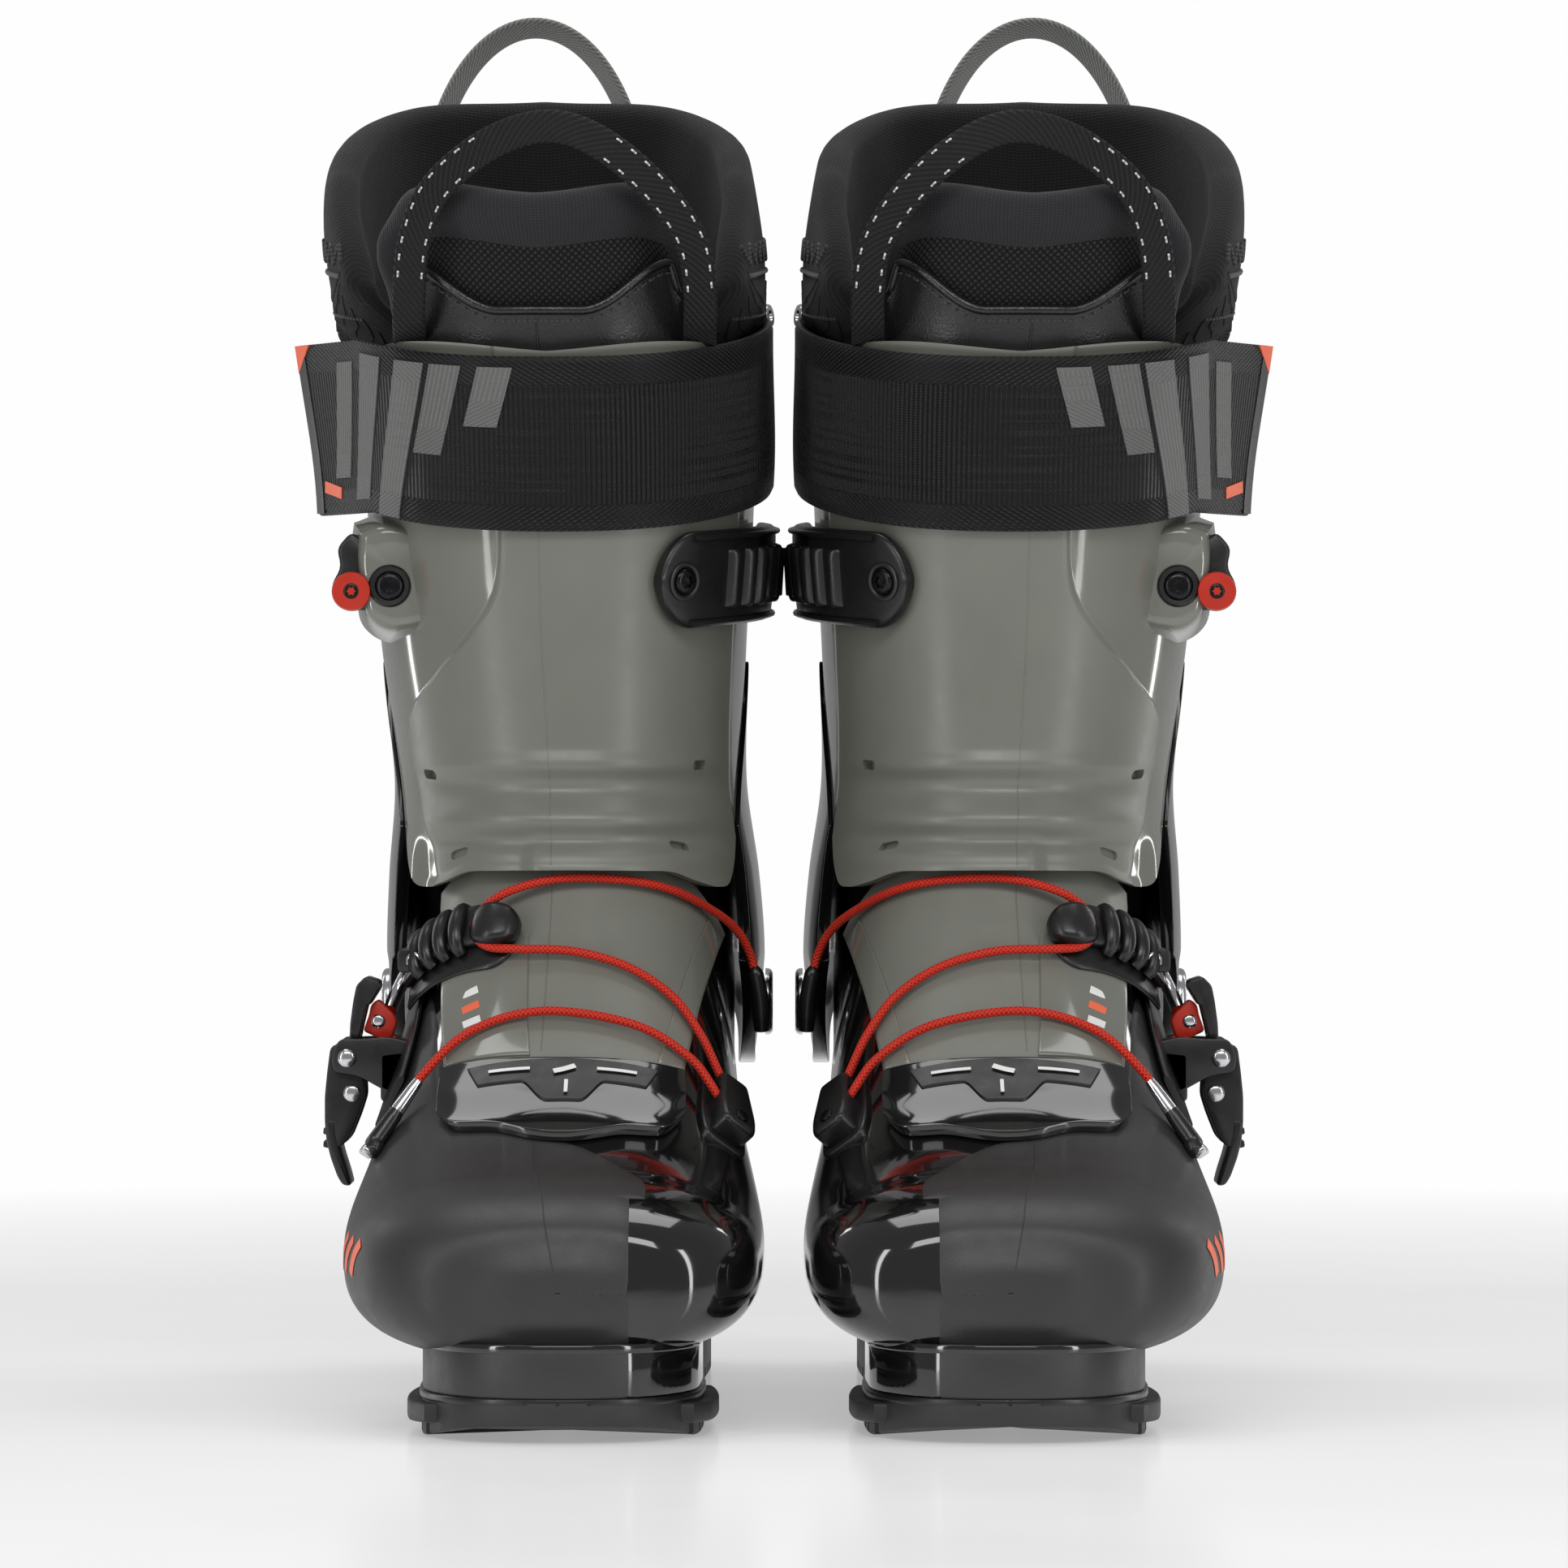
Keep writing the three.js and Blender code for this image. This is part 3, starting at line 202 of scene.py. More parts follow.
def leg_out(angle, z):
    turn = leg(np.asarray(angle) + 0.5, z) - leg(np.asarray(angle) - 0.5, z)
    up = leg(angle, np.asarray(z) + 0.5) - leg(angle, np.asarray(z) - 0.5)
    return unit(np.cross(turn, up))


def on_leg(angle, z, lift):
    return leg(angle, z) + leg_out(angle, z) * np.asarray(lift)[..., None]


def facing(angle):
    return np.abs(np.where(np.asarray(angle) > 180, 360 - np.asarray(angle, float), angle))


def height(rows):
    return lambda angle: curve(rows, facing(angle))


cuff_low = height([[0, 140.6], [20, 140.4], [30, 140], [40, 137.4], [50, 136], [57, 138], [66, 152],
                   [76, 166], [86, 181], [95, 197], [103, 212]])
cuff_high = height([[0, 275], [30, 278], [52, 277], [75, 268], [103, 262]])
base_low = height([[60, 134], [67, 116], [80, 94], [97, 88], [115, 100], [135, 113], [180, 118]])
base_top = height([[60, 300], [96, 196], [108, 180], [125, 156], [150, 137], [180, 134]])
spoiler_low = height([[94, 176], [110, 152], [135, 142], [180, 139]])
spoiler_high = height([[94, 262], [115, 285], [140, 296], [180, 300]])
collar_low = height([[60, 178], [90, 158], [120, 142], [180, 135]])
collar_high = height([[60, 296], [75, 312], [100, 334], [140, 348], [180, 351]])
tongue_high = height([[0, 316], [36, 318], [50, 304]])
SHELL_WALL, CUFF_WALL, SPOILER_OUT, SPOILER_WALL = 4.2, 3.8, -6.7, 3.4


# ---------------------------------------------------------------- meshes
def sheet_faces(rows, columns, base=0, wrap=False, flip=False):
    """The quads of a grid of points, and each corner's row and column for its texture place."""
    r, c = np.meshgrid(np.arange(rows - 1), np.arange(columns if wrap else columns - 1), indexing="ij")
    r, c = r.ravel(), c.ravel()
    at = np.stack([r, r, r + 1, r + 1], 1), np.stack([c, c + 1, c + 1, c], 1)
    faces = base + at[0] * columns + at[1] % columns
    if flip:
        return faces[:, ::-1], at[0][:, ::-1], at[1][:, ::-1]
    return faces, at[0], at[1]


def wall(outer, inner, wrap=False):
    """A closed wall between an outer and an inner grid. Its texture places are millimetres along both."""
    rows, columns = outer.shape[:2]
    count = rows * columns
    verts = np.concatenate([outer.reshape(-1, 3), inner.reshape(-1, 3)])
    cells = columns + 1 if wrap else columns
    closed = np.concatenate([outer, outer[:, :1]], 1) if wrap else outer
    across = np.concatenate([np.zeros((rows, 1)), np.linalg.norm(np.diff(closed, axis=1), axis=2).cumsum(1)],
                            1)
    up = np.concatenate([np.zeros((1, cells)), np.linalg.norm(np.diff(closed, axis=0), axis=2).cumsum(0)], 0)
    across = across - across[:, cells // 2:cells // 2 + 1]
    up = np.repeat(up.mean(1, keepdims=True), cells, 1)
    faces, uvs = [], []
    for base, flip in ((0, False), (count, True)):
        quads, r, c = sheet_faces(rows, columns, base, wrap, flip)
        faces.append(quads)
        uvs.append(np.stack([across[r, c], up[r, c]], -1))

    def rim(a, b, r, c):
        faces.append(np.stack([a[:-1], a[1:], b[1:], b[:-1]], 1)[:, ::-1])
        place = np.stack([across[r, c], up[r, c]], -1)
        uvs.append(np.stack([place[:-1], place[1:], place[1:], place[:-1]], 1)[:, ::-1])

    c = np.arange(cells)
    rim(c % columns, count + c % columns, np.zeros(cells, int), c)
    last = (rows - 1) * columns
    rim((last + c % columns)[::-1], (count + last + c % columns)[::-1], np.full(cells, rows - 1), c[::-1])
    if not wrap:
        r = np.arange(rows)
        rim((r * columns)[::-1], (count + r * columns)[::-1], r[::-1], np.zeros(rows, int))
        rim(r * columns + columns - 1, count + r * columns + columns - 1, r, np.full(rows, columns - 1))
    return verts, np.concatenate(faces), np.concatenate(uvs)


def tube(rings):
    """A closed solid through rings of points [ring, point, xyz], with flat ends."""
    count, n = rings.shape[:2]
    closed = np.concatenate([rings, rings[:, :1]], 1)
    across = np.concatenate([np.zeros((count, 1)), np.linalg.norm(np.diff(closed, axis=1), axis=2).cumsum(1)],
                            1)
    along = np.concatenate([[0], np.linalg.norm(np.diff(rings.mean(1), axis=0), axis=1).cumsum()])
    quads, r, c = sheet_faces(count, n, 0, True)
    uv = np.stack([across[r, c], along[r]], -1)
    faces, uvs = quads.tolist(), uv.tolist()
    faces.append(list(range(n))[::-1])
    faces.append(list(range((count - 1) * n, count * n)))
    uvs += [[(0, 0)] * n, [(0, 0)] * n]
    return rings.reshape(-1, 3), faces, uvs


def frames(points):
    """Along, side and up axes that turn smoothly down a line of points."""
    t = unit(np.gradient(points, axis=0))
    side = np.zeros_like(t)
    start = np.cross(t[0], (0, 0, 1) if abs(t[0][2]) < 0.9 else (1, 0, 0))
    side[0] = start / np.linalg.norm(start)
    for i in range(1, len(t)):
        s = side[i - 1] - t[i] * np.dot(side[i - 1], t[i])
        side[i] = s / np.linalg.norm(s)
    return t, side, np.cross(t, side)


def spline(points, count):
    """A Catmull-Rom curve through points, at even steps along it."""
    p = np.asarray(points, float)
    fine = through(np.column_stack([np.arange(len(p)), p]), np.linspace(0, len(p) - 1, 40 * len(p)))
    s = np.concatenate([[0], np.linalg.norm(np.diff(fine, axis=0), axis=1).cumsum()])
    return np.stack([np.interp(np.linspace(0, s[-1], count), s, fine[:, k]) for k in range(3)], 1)


def rope(points, radius, sides=14):
    """A round cord or pin along points. The radius may vary along it."""
    _, side, up = frames(points)
    a = np.linspace(0, 2 * np.pi, sides, endpoint=False)
    r = np.broadcast_to(np.asarray(radius, float), (len(points),))[:, None, None]
    return tube(points[:, None] + r * (np.cos(a)[None, :, None] * side[:, None] + np.sin(a)[None, :,
                                                                                            None] * up[:,
                                                                                                       None]))


def ribbon(at, across, out, width, thick, crown=0.0, columns=12):
    """A flat band along points with rounded edges: the width runs along across, the thickness along out."""
    a = np.linspace(0, 2 * np.pi, 2 * columns, endpoint=False)
    w, h = power(np.cos(a), 7) / 2, (power(np.sin(a), 2.6) + 1) / 2
    width, thick = np.broadcast_to(width, (len(at),)), np.broadcast_to(thick, (len(at),))
    lift = h[None] * thick[:, None] + crown * (1 - (2 * w[None]) ** 2)
    sideways = w[None, :, None] * width[:, None, None] * across[:, None]
    return tube(at[:, None] + sideways + lift[..., None] * out[:, None])


def rounded(outline, radius, steps=4):
    """An outline with each corner rounded to about that radius."""
    p = np.asarray(outline, float)
    made = []
    for i in range(len(p)):
        before, here, after = p[i - 1], p[i], p[(i + 1) % len(p)]
        a, b = before - here, after - here
        la, lb = np.linalg.norm(a), np.linalg.norm(b)
        cut = min(radius, la * 0.42, lb * 0.42)
        p0, p2 = here + a / la * cut, here + b / lb * cut
        for t in np.linspace(0, 1, steps):
            made.append((1 - t) ** 2 * p0 + 2 * t * (1 - t) * here + t * t * p2)
    return np.array(made)


def prism(outline, start, end, plane="xy", origin=(0, 0, 0), edge=0.35, steps=3):
    """An outline drawn out between two distances, with its edges rounded."""
    p = np.asarray(outline, float)
    q, back = np.roll(p, -1, 0), np.roll(p, 1, 0)
    if np.sum(p[:, 0] * q[:, 1] - q[:, 0] * p[:, 1]) < 0:
        p = p[::-1]
        q, back = np.roll(p, -1, 0), np.roll(p, 1, 0)
    e1, e2 = unit(p - back), unit(q - p)
    n1, n2 = np.stack([-e1[:, 1], e1[:, 0]], 1), np.stack([-e2[:, 1], e2[:, 0]], 1)
    inward = n1 + n2
    inward /= np.maximum((inward * n1).sum(1, keepdims=True), 0.6)
    turns = np.linspace(0, np.pi / 2, steps)
    levels = [(start + edge * (1 - math.cos(t)), edge * (1 - math.sin(t))) for t in turns]
    levels += [(end - edge * (1 - math.cos(t)), edge * (1 - math.sin(t))) for t in turns[::-1]]
    rings = np.array([np.column_stack([p + inward * shrink, np.full(len(p), level)]) for level,
                      shrink in levels])
    order = {"xy": (0, 1, 2), "xz": (0, 2, 1), "yz": (2, 0, 1)}[plane]
    return tube(rings[..., order] + np.asarray(origin, float))


def joined(*solids):
    verts, faces, uvs, base = [], [], [], 0
    for v, f, u in solids:
        verts.append(np.asarray(v))
        faces += [[base + k for k in face] for face in f]
        uvs += [list(x) for x in u]
        base += len(v)
    return np.concatenate(verts), faces, uvs


def moved(made, origin, x, y, z):
    """A solid built about the origin, put at a place with its axes along x, y and z."""
    axes = np.stack([np.asarray(axis, float) for axis in (x, y, z)])
    return np.asarray(origin) + made[0] @ axes, made[1], made[2]


def lathe(profile, sides=32):
    """A turned solid about z through [radius, height] rows."""
    a = np.linspace(0, 2 * np.pi, sides, endpoint=False)
    rows = np.asarray(profile, float)
    return tube(np.stack([rows[:, :1] * np.cos(a), rows[:, :1] * np.sin(a), np.repeat(rows[:, 1:], sides, 1)],
                         -1))


def object_of(name, made, side, materials, chosen=None):
    verts, faces, uvs = made
    sign = 1 if side == "right" else -1
    v = np.array(verts, float)
    v[:, 0] = sign * (v[:, 0] - SPACING)
    faces = [list(map(int, f)) for f in faces]
    uvs = [np.asarray(u, float) for u in uvs]
    mesh = bpy.data.meshes.new(name)
    mesh.from_pydata((v * MM).tolist(), [], faces)
    layer = mesh.uv_layers.new(name="place")
    layer.data.foreach_set("uv", (np.concatenate(uvs) * 0.1).astype(np.float32).ravel())
    for m in materials:
        mesh.materials.append(m)
    if chosen is not None:
        mesh.polygons.foreach_set("material_index", np.asarray(chosen, np.int32))
    mesh.polygons.foreach_set("use_smooth", np.ones(len(mesh.polygons), bool))
    mesh.validate()
    solid = bmesh.new()
    solid.from_mesh(mesh)
    bmesh.ops.recalc_face_normals(solid, faces=solid.faces)
    solid.to_mesh(mesh)
    solid.free()
    made_object = bpy.data.objects.new(name, mesh)
    bpy.context.scene.collection.objects.link(made_object)
    return made_object


def settle(o):
    """The object's modifiers, applied."""
    mesh = bpy.data.meshes.new_from_object(o.evaluated_get(bpy.context.evaluated_depsgraph_get()))
    o.modifiers.clear()
    old, o.data = o.data, mesh
    bpy.data.meshes.remove(old)
    o.data.polygons.foreach_set("use_smooth", np.ones(len(o.data.polygons), bool))


def put(name, made, body, look, stands_for=(), bevel=0.0, sharp=40, cut=None,
        bend=None, chosen=None, smooth_level=0, sides=SIDES):
    """Makes a piece on both boots: shape, looks, body, and the CAD nodes that it stands for. A piece given
    bend gets no body; it is only baked in place.
    """
    looks = look if isinstance(look, (list, tuple)) else [look]
    made_objects = []
    for side in sides:
        o = object_of(f"{side}_{name}", made, side, looks, chosen)
        if cut is not None:
            cutter = object_of("cutter", cut, side, [])
            m = o.modifiers.new("cut", "BOOLEAN")
            m.object, m.solver = cutter, "EXACT"
            settle(o)
            bpy.data.objects.remove(cutter)
        if bevel:
            m = o.modifiers.new("edges", "BEVEL")
            m.width, m.segments, m.limit_method, m.angle_limit = bevel * MM, 3, "ANGLE", math.radians(sharp)
            m.use_clamp_overlap = True
            settle(o)
        if smooth_level:
            m = o.modifiers.new("smooth", "SUBSURF")
            m.levels = m.render_levels = smooth_level
            settle(o)
        o.data.set_sharp_from_angle(angle=math.radians(50))
        if bend:
            other, start, end = bend
            sign = 1 if side == "right" else -1
            ends = [(sign * (p[0] - SPACING) * MM, p[1] * MM, p[2] * MM) for p in (start, end)]
            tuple(ends[0])
            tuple(ends[1])
            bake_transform(o)
        else:
            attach(o, f"{side}_{body}_body")
        if stands_for:
            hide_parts(*(f"{side}_{n}" for n in ([stands_for] if isinstance(stands_for,
                                                                                str) else stands_for)))
        made_objects.append(o)
    return made_objects


# ---------------------------------------------------------------- materials
class Tree:
    """A material's nodes, written as sums."""

    def __init__(self, name):
        self.material = bpy.data.materials.new(name)
        self.material.use_nodes = True
        self.nodes, self.links = self.material.node_tree.nodes, self.material.node_tree.links
        self.shader = self.nodes["Principled BSDF"]
        self.where = self.nodes.new("ShaderNodeTexCoord").outputs["Object"]
        place = self.nodes.new("ShaderNodeUVMap")
        place.uv_map = "place"
        split = self.nodes.new("ShaderNodeSeparateXYZ")
        self.links.new(place.outputs[0], split.inputs[0])
        self.u, self.v = self.sum("MULTIPLY", split.outputs[0], 10), self.sum("MULTIPLY", split.outputs[1],
                                                                              10)

    def sum(self, operation, *values):
        node = self.nodes.new("ShaderNodeMath")
        node.operation = operation
        for i, value in enumerate(values):
            self.feed(node.inputs[i], value)
        return node.outputs[0]

    def feed(self, socket, value):
        if isinstance(value, (int, float, tuple, list)):
            socket.default_value = value
        else:
            self.links.new(value, socket)

    def noise(self, scale, detail=3, rough=0.55):
        node = self.nodes.new("ShaderNodeTexNoise")
        self.links.new(self.where, node.inputs["Vector"])
        node.inputs["Scale"].default_value = scale
        node.inputs["Detail"].default_value = detail
        node.inputs["Roughness"].default_value = rough
        return node.outputs["Fac"]

    def wave(self, along, period, shift=0.0):
        turned = self.sum("MULTIPLY_ADD", along, 2 * math.pi / period, shift)
        return self.sum("MULTIPLY_ADD", self.sum("SINE", turned), 0.5, 0.5)

    def span(self, value, low, high, to_low=0.0, to_high=1.0):
        node = self.nodes.new("ShaderNodeMapRange")
        for i, x in enumerate((value, low, high, to_low, to_high)):
            self.feed(node.inputs[i], x)
        return node.outputs[0]

    def colour(self, share, first, second):
        node = self.nodes.new("ShaderNodeMix")
        node.data_type = "RGBA"
        self.feed(node.inputs[0], share)
        self.feed(node.inputs[6], first)
        self.feed(node.inputs[7], second)
        return node.outputs[2]

    def relief(self, height, distance, strength=1.0, under=None):
        node = self.nodes.new("ShaderNodeBump")
        node.inputs["Strength"].default_value = strength
        node.inputs["Distance"].default_value = distance * MM
        self.feed(node.inputs["Height"], height)
        if under is not None:
            self.links.new(under, node.inputs["Normal"])
        return node.outputs[0]

    def set(self, name, value):
        self.feed(self.shader.inputs[name], value)
        return self


def linear(r, g, b):
    return tuple(((c / 255 + 0.055) / 1.055) ** 2.4 if c > 10 else c / 255 / 12.92 for c in (r, g, b)) + (1.0,
                                                                                                          )


def plastic(name, rgb, rough, vary=0.12, grain=0.0, grain_scale=1400, coat=0.0, specular=0.5, scratch=0.0,
            metal=0.0):
    """Moulded plastic, paint or metal: slow changes of tone and gloss, fine grain and faint marks."""
    t = Tree(name)
    base = linear(*rgb)
    tone = t.span(t.noise(38, 5), 0.3, 0.7, 1 - vary, 1 + vary)
    dark = tuple(c * (1 - vary) for c in base[:3]) + (1.0,)
    light = tuple(c * (1 + vary) for c in base[:3]) + (1.0,)
    t.set("Base Color", t.colour(t.span(tone, 1 - vary, 1 + vary), dark, light))
    rubs = t.span(t.noise(150, 6, 0.7), 0.35, 0.75, rough * 0.88, rough * 1.14 + scratch)
    t.set("Roughness", rubs)
    t.set("Metallic", metal).set("Specular IOR Level", specular)
    if coat:
        t.set("Coat Weight", coat).set("Coat Roughness", 0.04)
    flow = t.relief(t.noise(70, 2), 0.12, 0.35)
    if grain:
        flow = t.relief(t.noise(grain_scale, 2), grain, 1.0, flow)
    t.set("Normal", flow)
    return t.material


def cloth(name, rgb, weave, depth=0.25, rough=0.92, sheen=0.25, thread_shade=0.45, vary=0.2):
    """Woven or knitted cloth. weave(t) gives the height of its threads from 0 to 1. The colour follows that
    height: painted shade in the gaps between threads and painted highlight on the raised threads.
    """
    t = Tree(name)
    base = linear(*rgb)
    threads = weave(t)
    fuzz = t.noise(900, 4, 0.7)
    # tone: random fuzz, which is the cloth's own, plus painted shade and painted highlight that follow the
    # thread height
    tone = t.sum("MULTIPLY_ADD", fuzz, vary, t.sum("MULTIPLY", threads, thread_shade))
    dark = tuple(c * (1 - thread_shade) for c in base[:3]) + (1.0,)
    light = tuple(min(1, c * (1 + thread_shade)) for c in base[:3]) + (1.0,)
    t.set("Base Color", t.colour(t.span(tone, 0.1, thread_shade + vary * 0.6), dark, light))
    t.set("Roughness", t.span(fuzz, 0.2, 0.8, rough - 0.1, min(1.0, rough + 0.06)))
    t.set("Sheen Weight", sheen).set("Sheen Roughness", 0.45).set("Specular IOR Level", 0.25)
    t.set("Normal", t.relief(threads, depth, 0.9, t.relief(fuzz, 0.12, 0.5)))
    return t.material


def knit(period):
    def weave(t):
        row = t.wave(t.v, period)
        loops = t.wave(t.sum("MULTIPLY_ADD", row, period * 0.35, t.u), period * 0.9)
        return t.sum("MULTIPLY", loops, t.sum("MULTIPLY_ADD", row, 0.7, 0.3))
    return weave


def twill(period, slant=1.0):
    def weave(t):
        slope = t.sum("MULTIPLY_ADD", t.sum("ABSOLUTE", t.v), slant, t.u)
        return t.sum("MULTIPLY", t.wave(slope, period), t.sum("MULTIPLY_ADD", t.wave(t.v, period * 0.6), 0.4,
                                                              0.6))
    return weave


def mesh_weave(period):
    def weave(t):
        a = t.wave(t.sum("ADD", t.u, t.v), period)
        b = t.wave(t.sum("SUBTRACT", t.u, t.v), period)
        return t.span(t.sum("MULTIPLY", a, b), 0.12, 0.5)
    return weave


def braid(t):
    a = t.wave(t.sum("MULTIPLY_ADD", t.v, 1.0, t.sum("MULTIPLY", t.u, 0.9)), 1.25)
    b = t.wave(t.sum("MULTIPLY_ADD", t.v, -1.0, t.sum("MULTIPLY", t.u, 0.9)), 1.25)
    return t.sum("MAXIMUM", a, b)


def strap_weave(t):
    """The power strap: slanted twill along its edges, cross cords and a few sunk stripes between."""
    v = t.sum("SUBTRACT", t.v, 22.5)
    edge = t.span(t.sum("ABSOLUTE", v), 15.4, 15.9)
    slant = t.wave(t.sum("MULTIPLY_ADD", t.sum("ABSOLUTE", v), 1.7, t.u), 2.1)
    strands = t.sum("MULTIPLY", t.span(slant, 0.15, 0.75), t.sum("MULTIPLY_ADD", t.wave(v, 0.8), 0.3, 0.7))
    cords = t.sum("MULTIPLY", t.wave(t.u, 1.35), t.sum("MULTIPLY_ADD", t.wave(v, 0.7), 0.35, 0.65))
    uneven = t.sum("MULTIPLY_ADD", t.wave(v, 8.3, 1.0), 1.2, v)
    stripes = t.sum("MULTIPLY", t.span(t.wave(uneven, 3.1), 0.55, 0.8), t.span(t.noise(24, 2), 0.42, 0.6))
    centre = t.sum("MULTIPLY", cords, t.sum("MULTIPLY_ADD", stripes, -0.65, 1.0))
    return t.sum("MULTIPLY_ADD", edge, strands, t.sum("MULTIPLY", t.sum("SUBTRACT", 1.0, edge), centre))


GREY = plastic("cuff_satin_grey", (113, 114, 106), 0.34, vary=0.05, grain=0.02, grain_scale=2600,
               scratch=0.05)
GREY_GLOSS = plastic("cuff_gloss_grey", (113, 114, 106), 0.12, vary=0.04, coat=0.5)
GLOSS = plastic("shell_gloss_black", (17, 17, 18), 0.09, vary=0.1, coat=0.6)
MATTE = plastic("shell_matte_black", (43, 43, 44), 0.46, vary=0.08, grain=0.05, grain_scale=2200)
BLACK = plastic("hardware_black_plastic", (22, 22, 23), 0.3, vary=0.15, grain=0.02, scratch=0.06)
RUBBER = plastic("sole_rubber_dark", (40, 40, 41), 0.55, vary=0.12, grain=0.06, grain_scale=1700)
LEATHER = plastic("tongue_rubber_black", (21, 21, 22), 0.27, vary=0.12, grain=0.1, grain_scale=1500)
STEEL = plastic("polished_steel", (205, 205, 208), 0.16, vary=0.05, metal=1.0, scratch=0.08)
DARK_STEEL = plastic("blackened_screw", (38, 38, 40), 0.22, vary=0.1, metal=0.85, scratch=0.1)
RED = plastic("red_anodised", (186, 40, 20), 0.34, vary=0.12, scratch=0.08)
ORANGE = plastic("orange_print", (236, 104, 66), 0.45, vary=0.05)
PRINT_WHITE = plastic("white_print", (226, 227, 226), 0.4, vary=0.03)
STITCH = cloth("stitching_dark", (58, 58, 60), lambda t: t.wave(t.v, 1.3), 0.15)
STITCH_LIGHT = cloth("stitching_light", (196, 196, 192), lambda t: t.wave(t.v, 1.3), 0.15)
KNIT = cloth("collar_knit_black", (31, 31, 33), knit(0.95), 0.22, sheen=0.12, thread_shade=0.5)
TONGUE_KNIT = cloth("tongue_roll_knit", (45, 45, 48), knit(0.8), 0.14, sheen=0.15, thread_shade=0.4)
MESH = cloth("tongue_mesh", (30, 30, 31), mesh_weave(1.9), 0.6, sheen=0.1, thread_shade=0.85)
GUSSET = cloth("ribbed_gusset", (50, 50, 53), knit(1.1), 0.22, sheen=0.1)
STRAP = cloth("power_strap_weave", (24, 24, 26), strap_weave, 0.7, rough=0.42, sheen=0.05, thread_shade=0.85)
STRAP_PRINT = cloth("power_strap_print", (112, 112, 111), strap_weave, 0.4, rough=0.5, sheen=0.03,
                    thread_shade=0.18, vary=0.1)
TAPE = cloth("black_webbing", (22, 22, 24), twill(1.7, 0.8), 0.35, rough=0.6, sheen=0.06, thread_shade=0.7)
GREY_TAPE = cloth("grey_webbing", (128, 130, 126), twill(1.7, 1.1), 0.3, thread_shade=0.35)
RED_CORD = cloth("red_braided_cord", (176, 37, 20), braid, 0.2, rough=0.45, sheen=0.04, thread_shade=0.55)
RED_WEB = cloth("red_woven_link", (172, 36, 20), mesh_weave(1.3), 0.2, rough=0.7, thread_shade=0.5)
INNER = cloth("liner_inner_fleece", (34, 34, 36), knit(1.4), 0.3, thread_shade=0.3)


# ---------------------------------------------------------------- lower shell
def shell_skin():
    ring = np.concatenate([np.linspace(-1, 1, 26), np.linspace(1.08, 15, 150)])[:, None]
    angle = np.linspace(0, 360, 128, endpoint=False)[None]
    inner_ring = np.maximum(ring, 0.7)
    inner = foot(inner_ring, angle, -SHELL_WALL)
    centre = inner.mean(1, keepdims=True)
    inner = centre + (inner - centre) * np.clip((ring[..., None] + 1) / 1.7, 0.02, 1)
    return wall(foot(ring, angle), inner, wrap=True)


SPLIT = 17.5  # the overmould's edge down the toe, from the sole's centre line


def overmould():
    """The matte skin over the toe and the lateral side, with its raised edge."""
    rows, columns = 130, 110
    ring = np.linspace(-0.98, 9.4, rows)
    half = through(FOOT_ROWS, ring)[:, 5]
    reach = np.clip(SPLIT / np.maximum(half, 0.1), 0, 1)
    top = np.degrees(np.arcsin(reach ** 1.25))
    under = 180 - np.degrees(np.arcsin(reach ** 1.3))
    top = np.where(ring > 2.2, curve([[2.2, 24], [3.4, 20], [4.3, 10], [4.85, 0], [5.6, -22], [6.2, -32],
                                      [7.8, -43], [8.8, -54], [9.4, -64]], ring), top)
    under = np.where(ring > 1.6, curve([[1.6, 160], [3, 200], [5, 225], [7, 236], [9.4, 262]], ring), under)
    u = np.linspace(0, 1, columns)[None]
    angle = mix(top[:, None], under[:, None] - 360, u)
    bend = ring[:, None] - 1.1 * smooth(6, 9.4, ring)[:, None] * smooth(0.3, 1, u)
    edge = np.minimum(np.minimum(u, 1 - u) * columns / 3, (9.4 - ring[:, None]) / 0.1)
    lift = 0.42 * np.clip(edge, 0, 1) ** 0.5
    return wall(foot(bend, angle, lift), foot(bend, angle, -0.5))


def sole_outline(toe, grow=0.0):
    side = [[-152.6, 0.0], [-151.5, 9.5], [-145, toe * 0.33], [-129, toe * 0.46], [-109, toe / 2],
            [-73, toe / 2], [0, 31], [83, 35], [119, 35], [141, 28], [150, 16.8], [152.8, 0]]
    p = spline(np.column_stack([side, np.zeros(len(side))]), 70)[:, :2]
    half = np.column_stack([p[:, 1] + grow, p[:, 0]])
    half[[0, -1], 0] = 0
    return np.concatenate([half, half[-2:0:-1] * (-1, 1)])


def clipped(outline, keep, axis, level):
    """The part of a closed outline on one side of a line. keep is -1 for below, +1 for above."""
    made = []
    for i in range(len(outline)):
        p, q = outline[i - 1], outline[i]
        a, b = (p[axis] - level) * keep, (q[axis] - level) * keep
        if (a > 0) != (b > 0):
            made.append(p + (q - p) * (a / (a - b)))
        if b > 0:
            made.append(q)
    return np.array(made)


TOE_END, HEEL_START = -49.0, 59.0


def sole_slab(outline, low, high, edge=0.6, drop=None):
    made = prism(outline, low, high, "xy", edge=edge)
    if drop is not None:
        v = made[0]
        v[:, 2] += drop(v)
    return made


def rocker(v):
    return np.where(v[:, 2] < 6, 3.6 * smooth(-117, -160, v[:, 1]) * 1.35, 0)


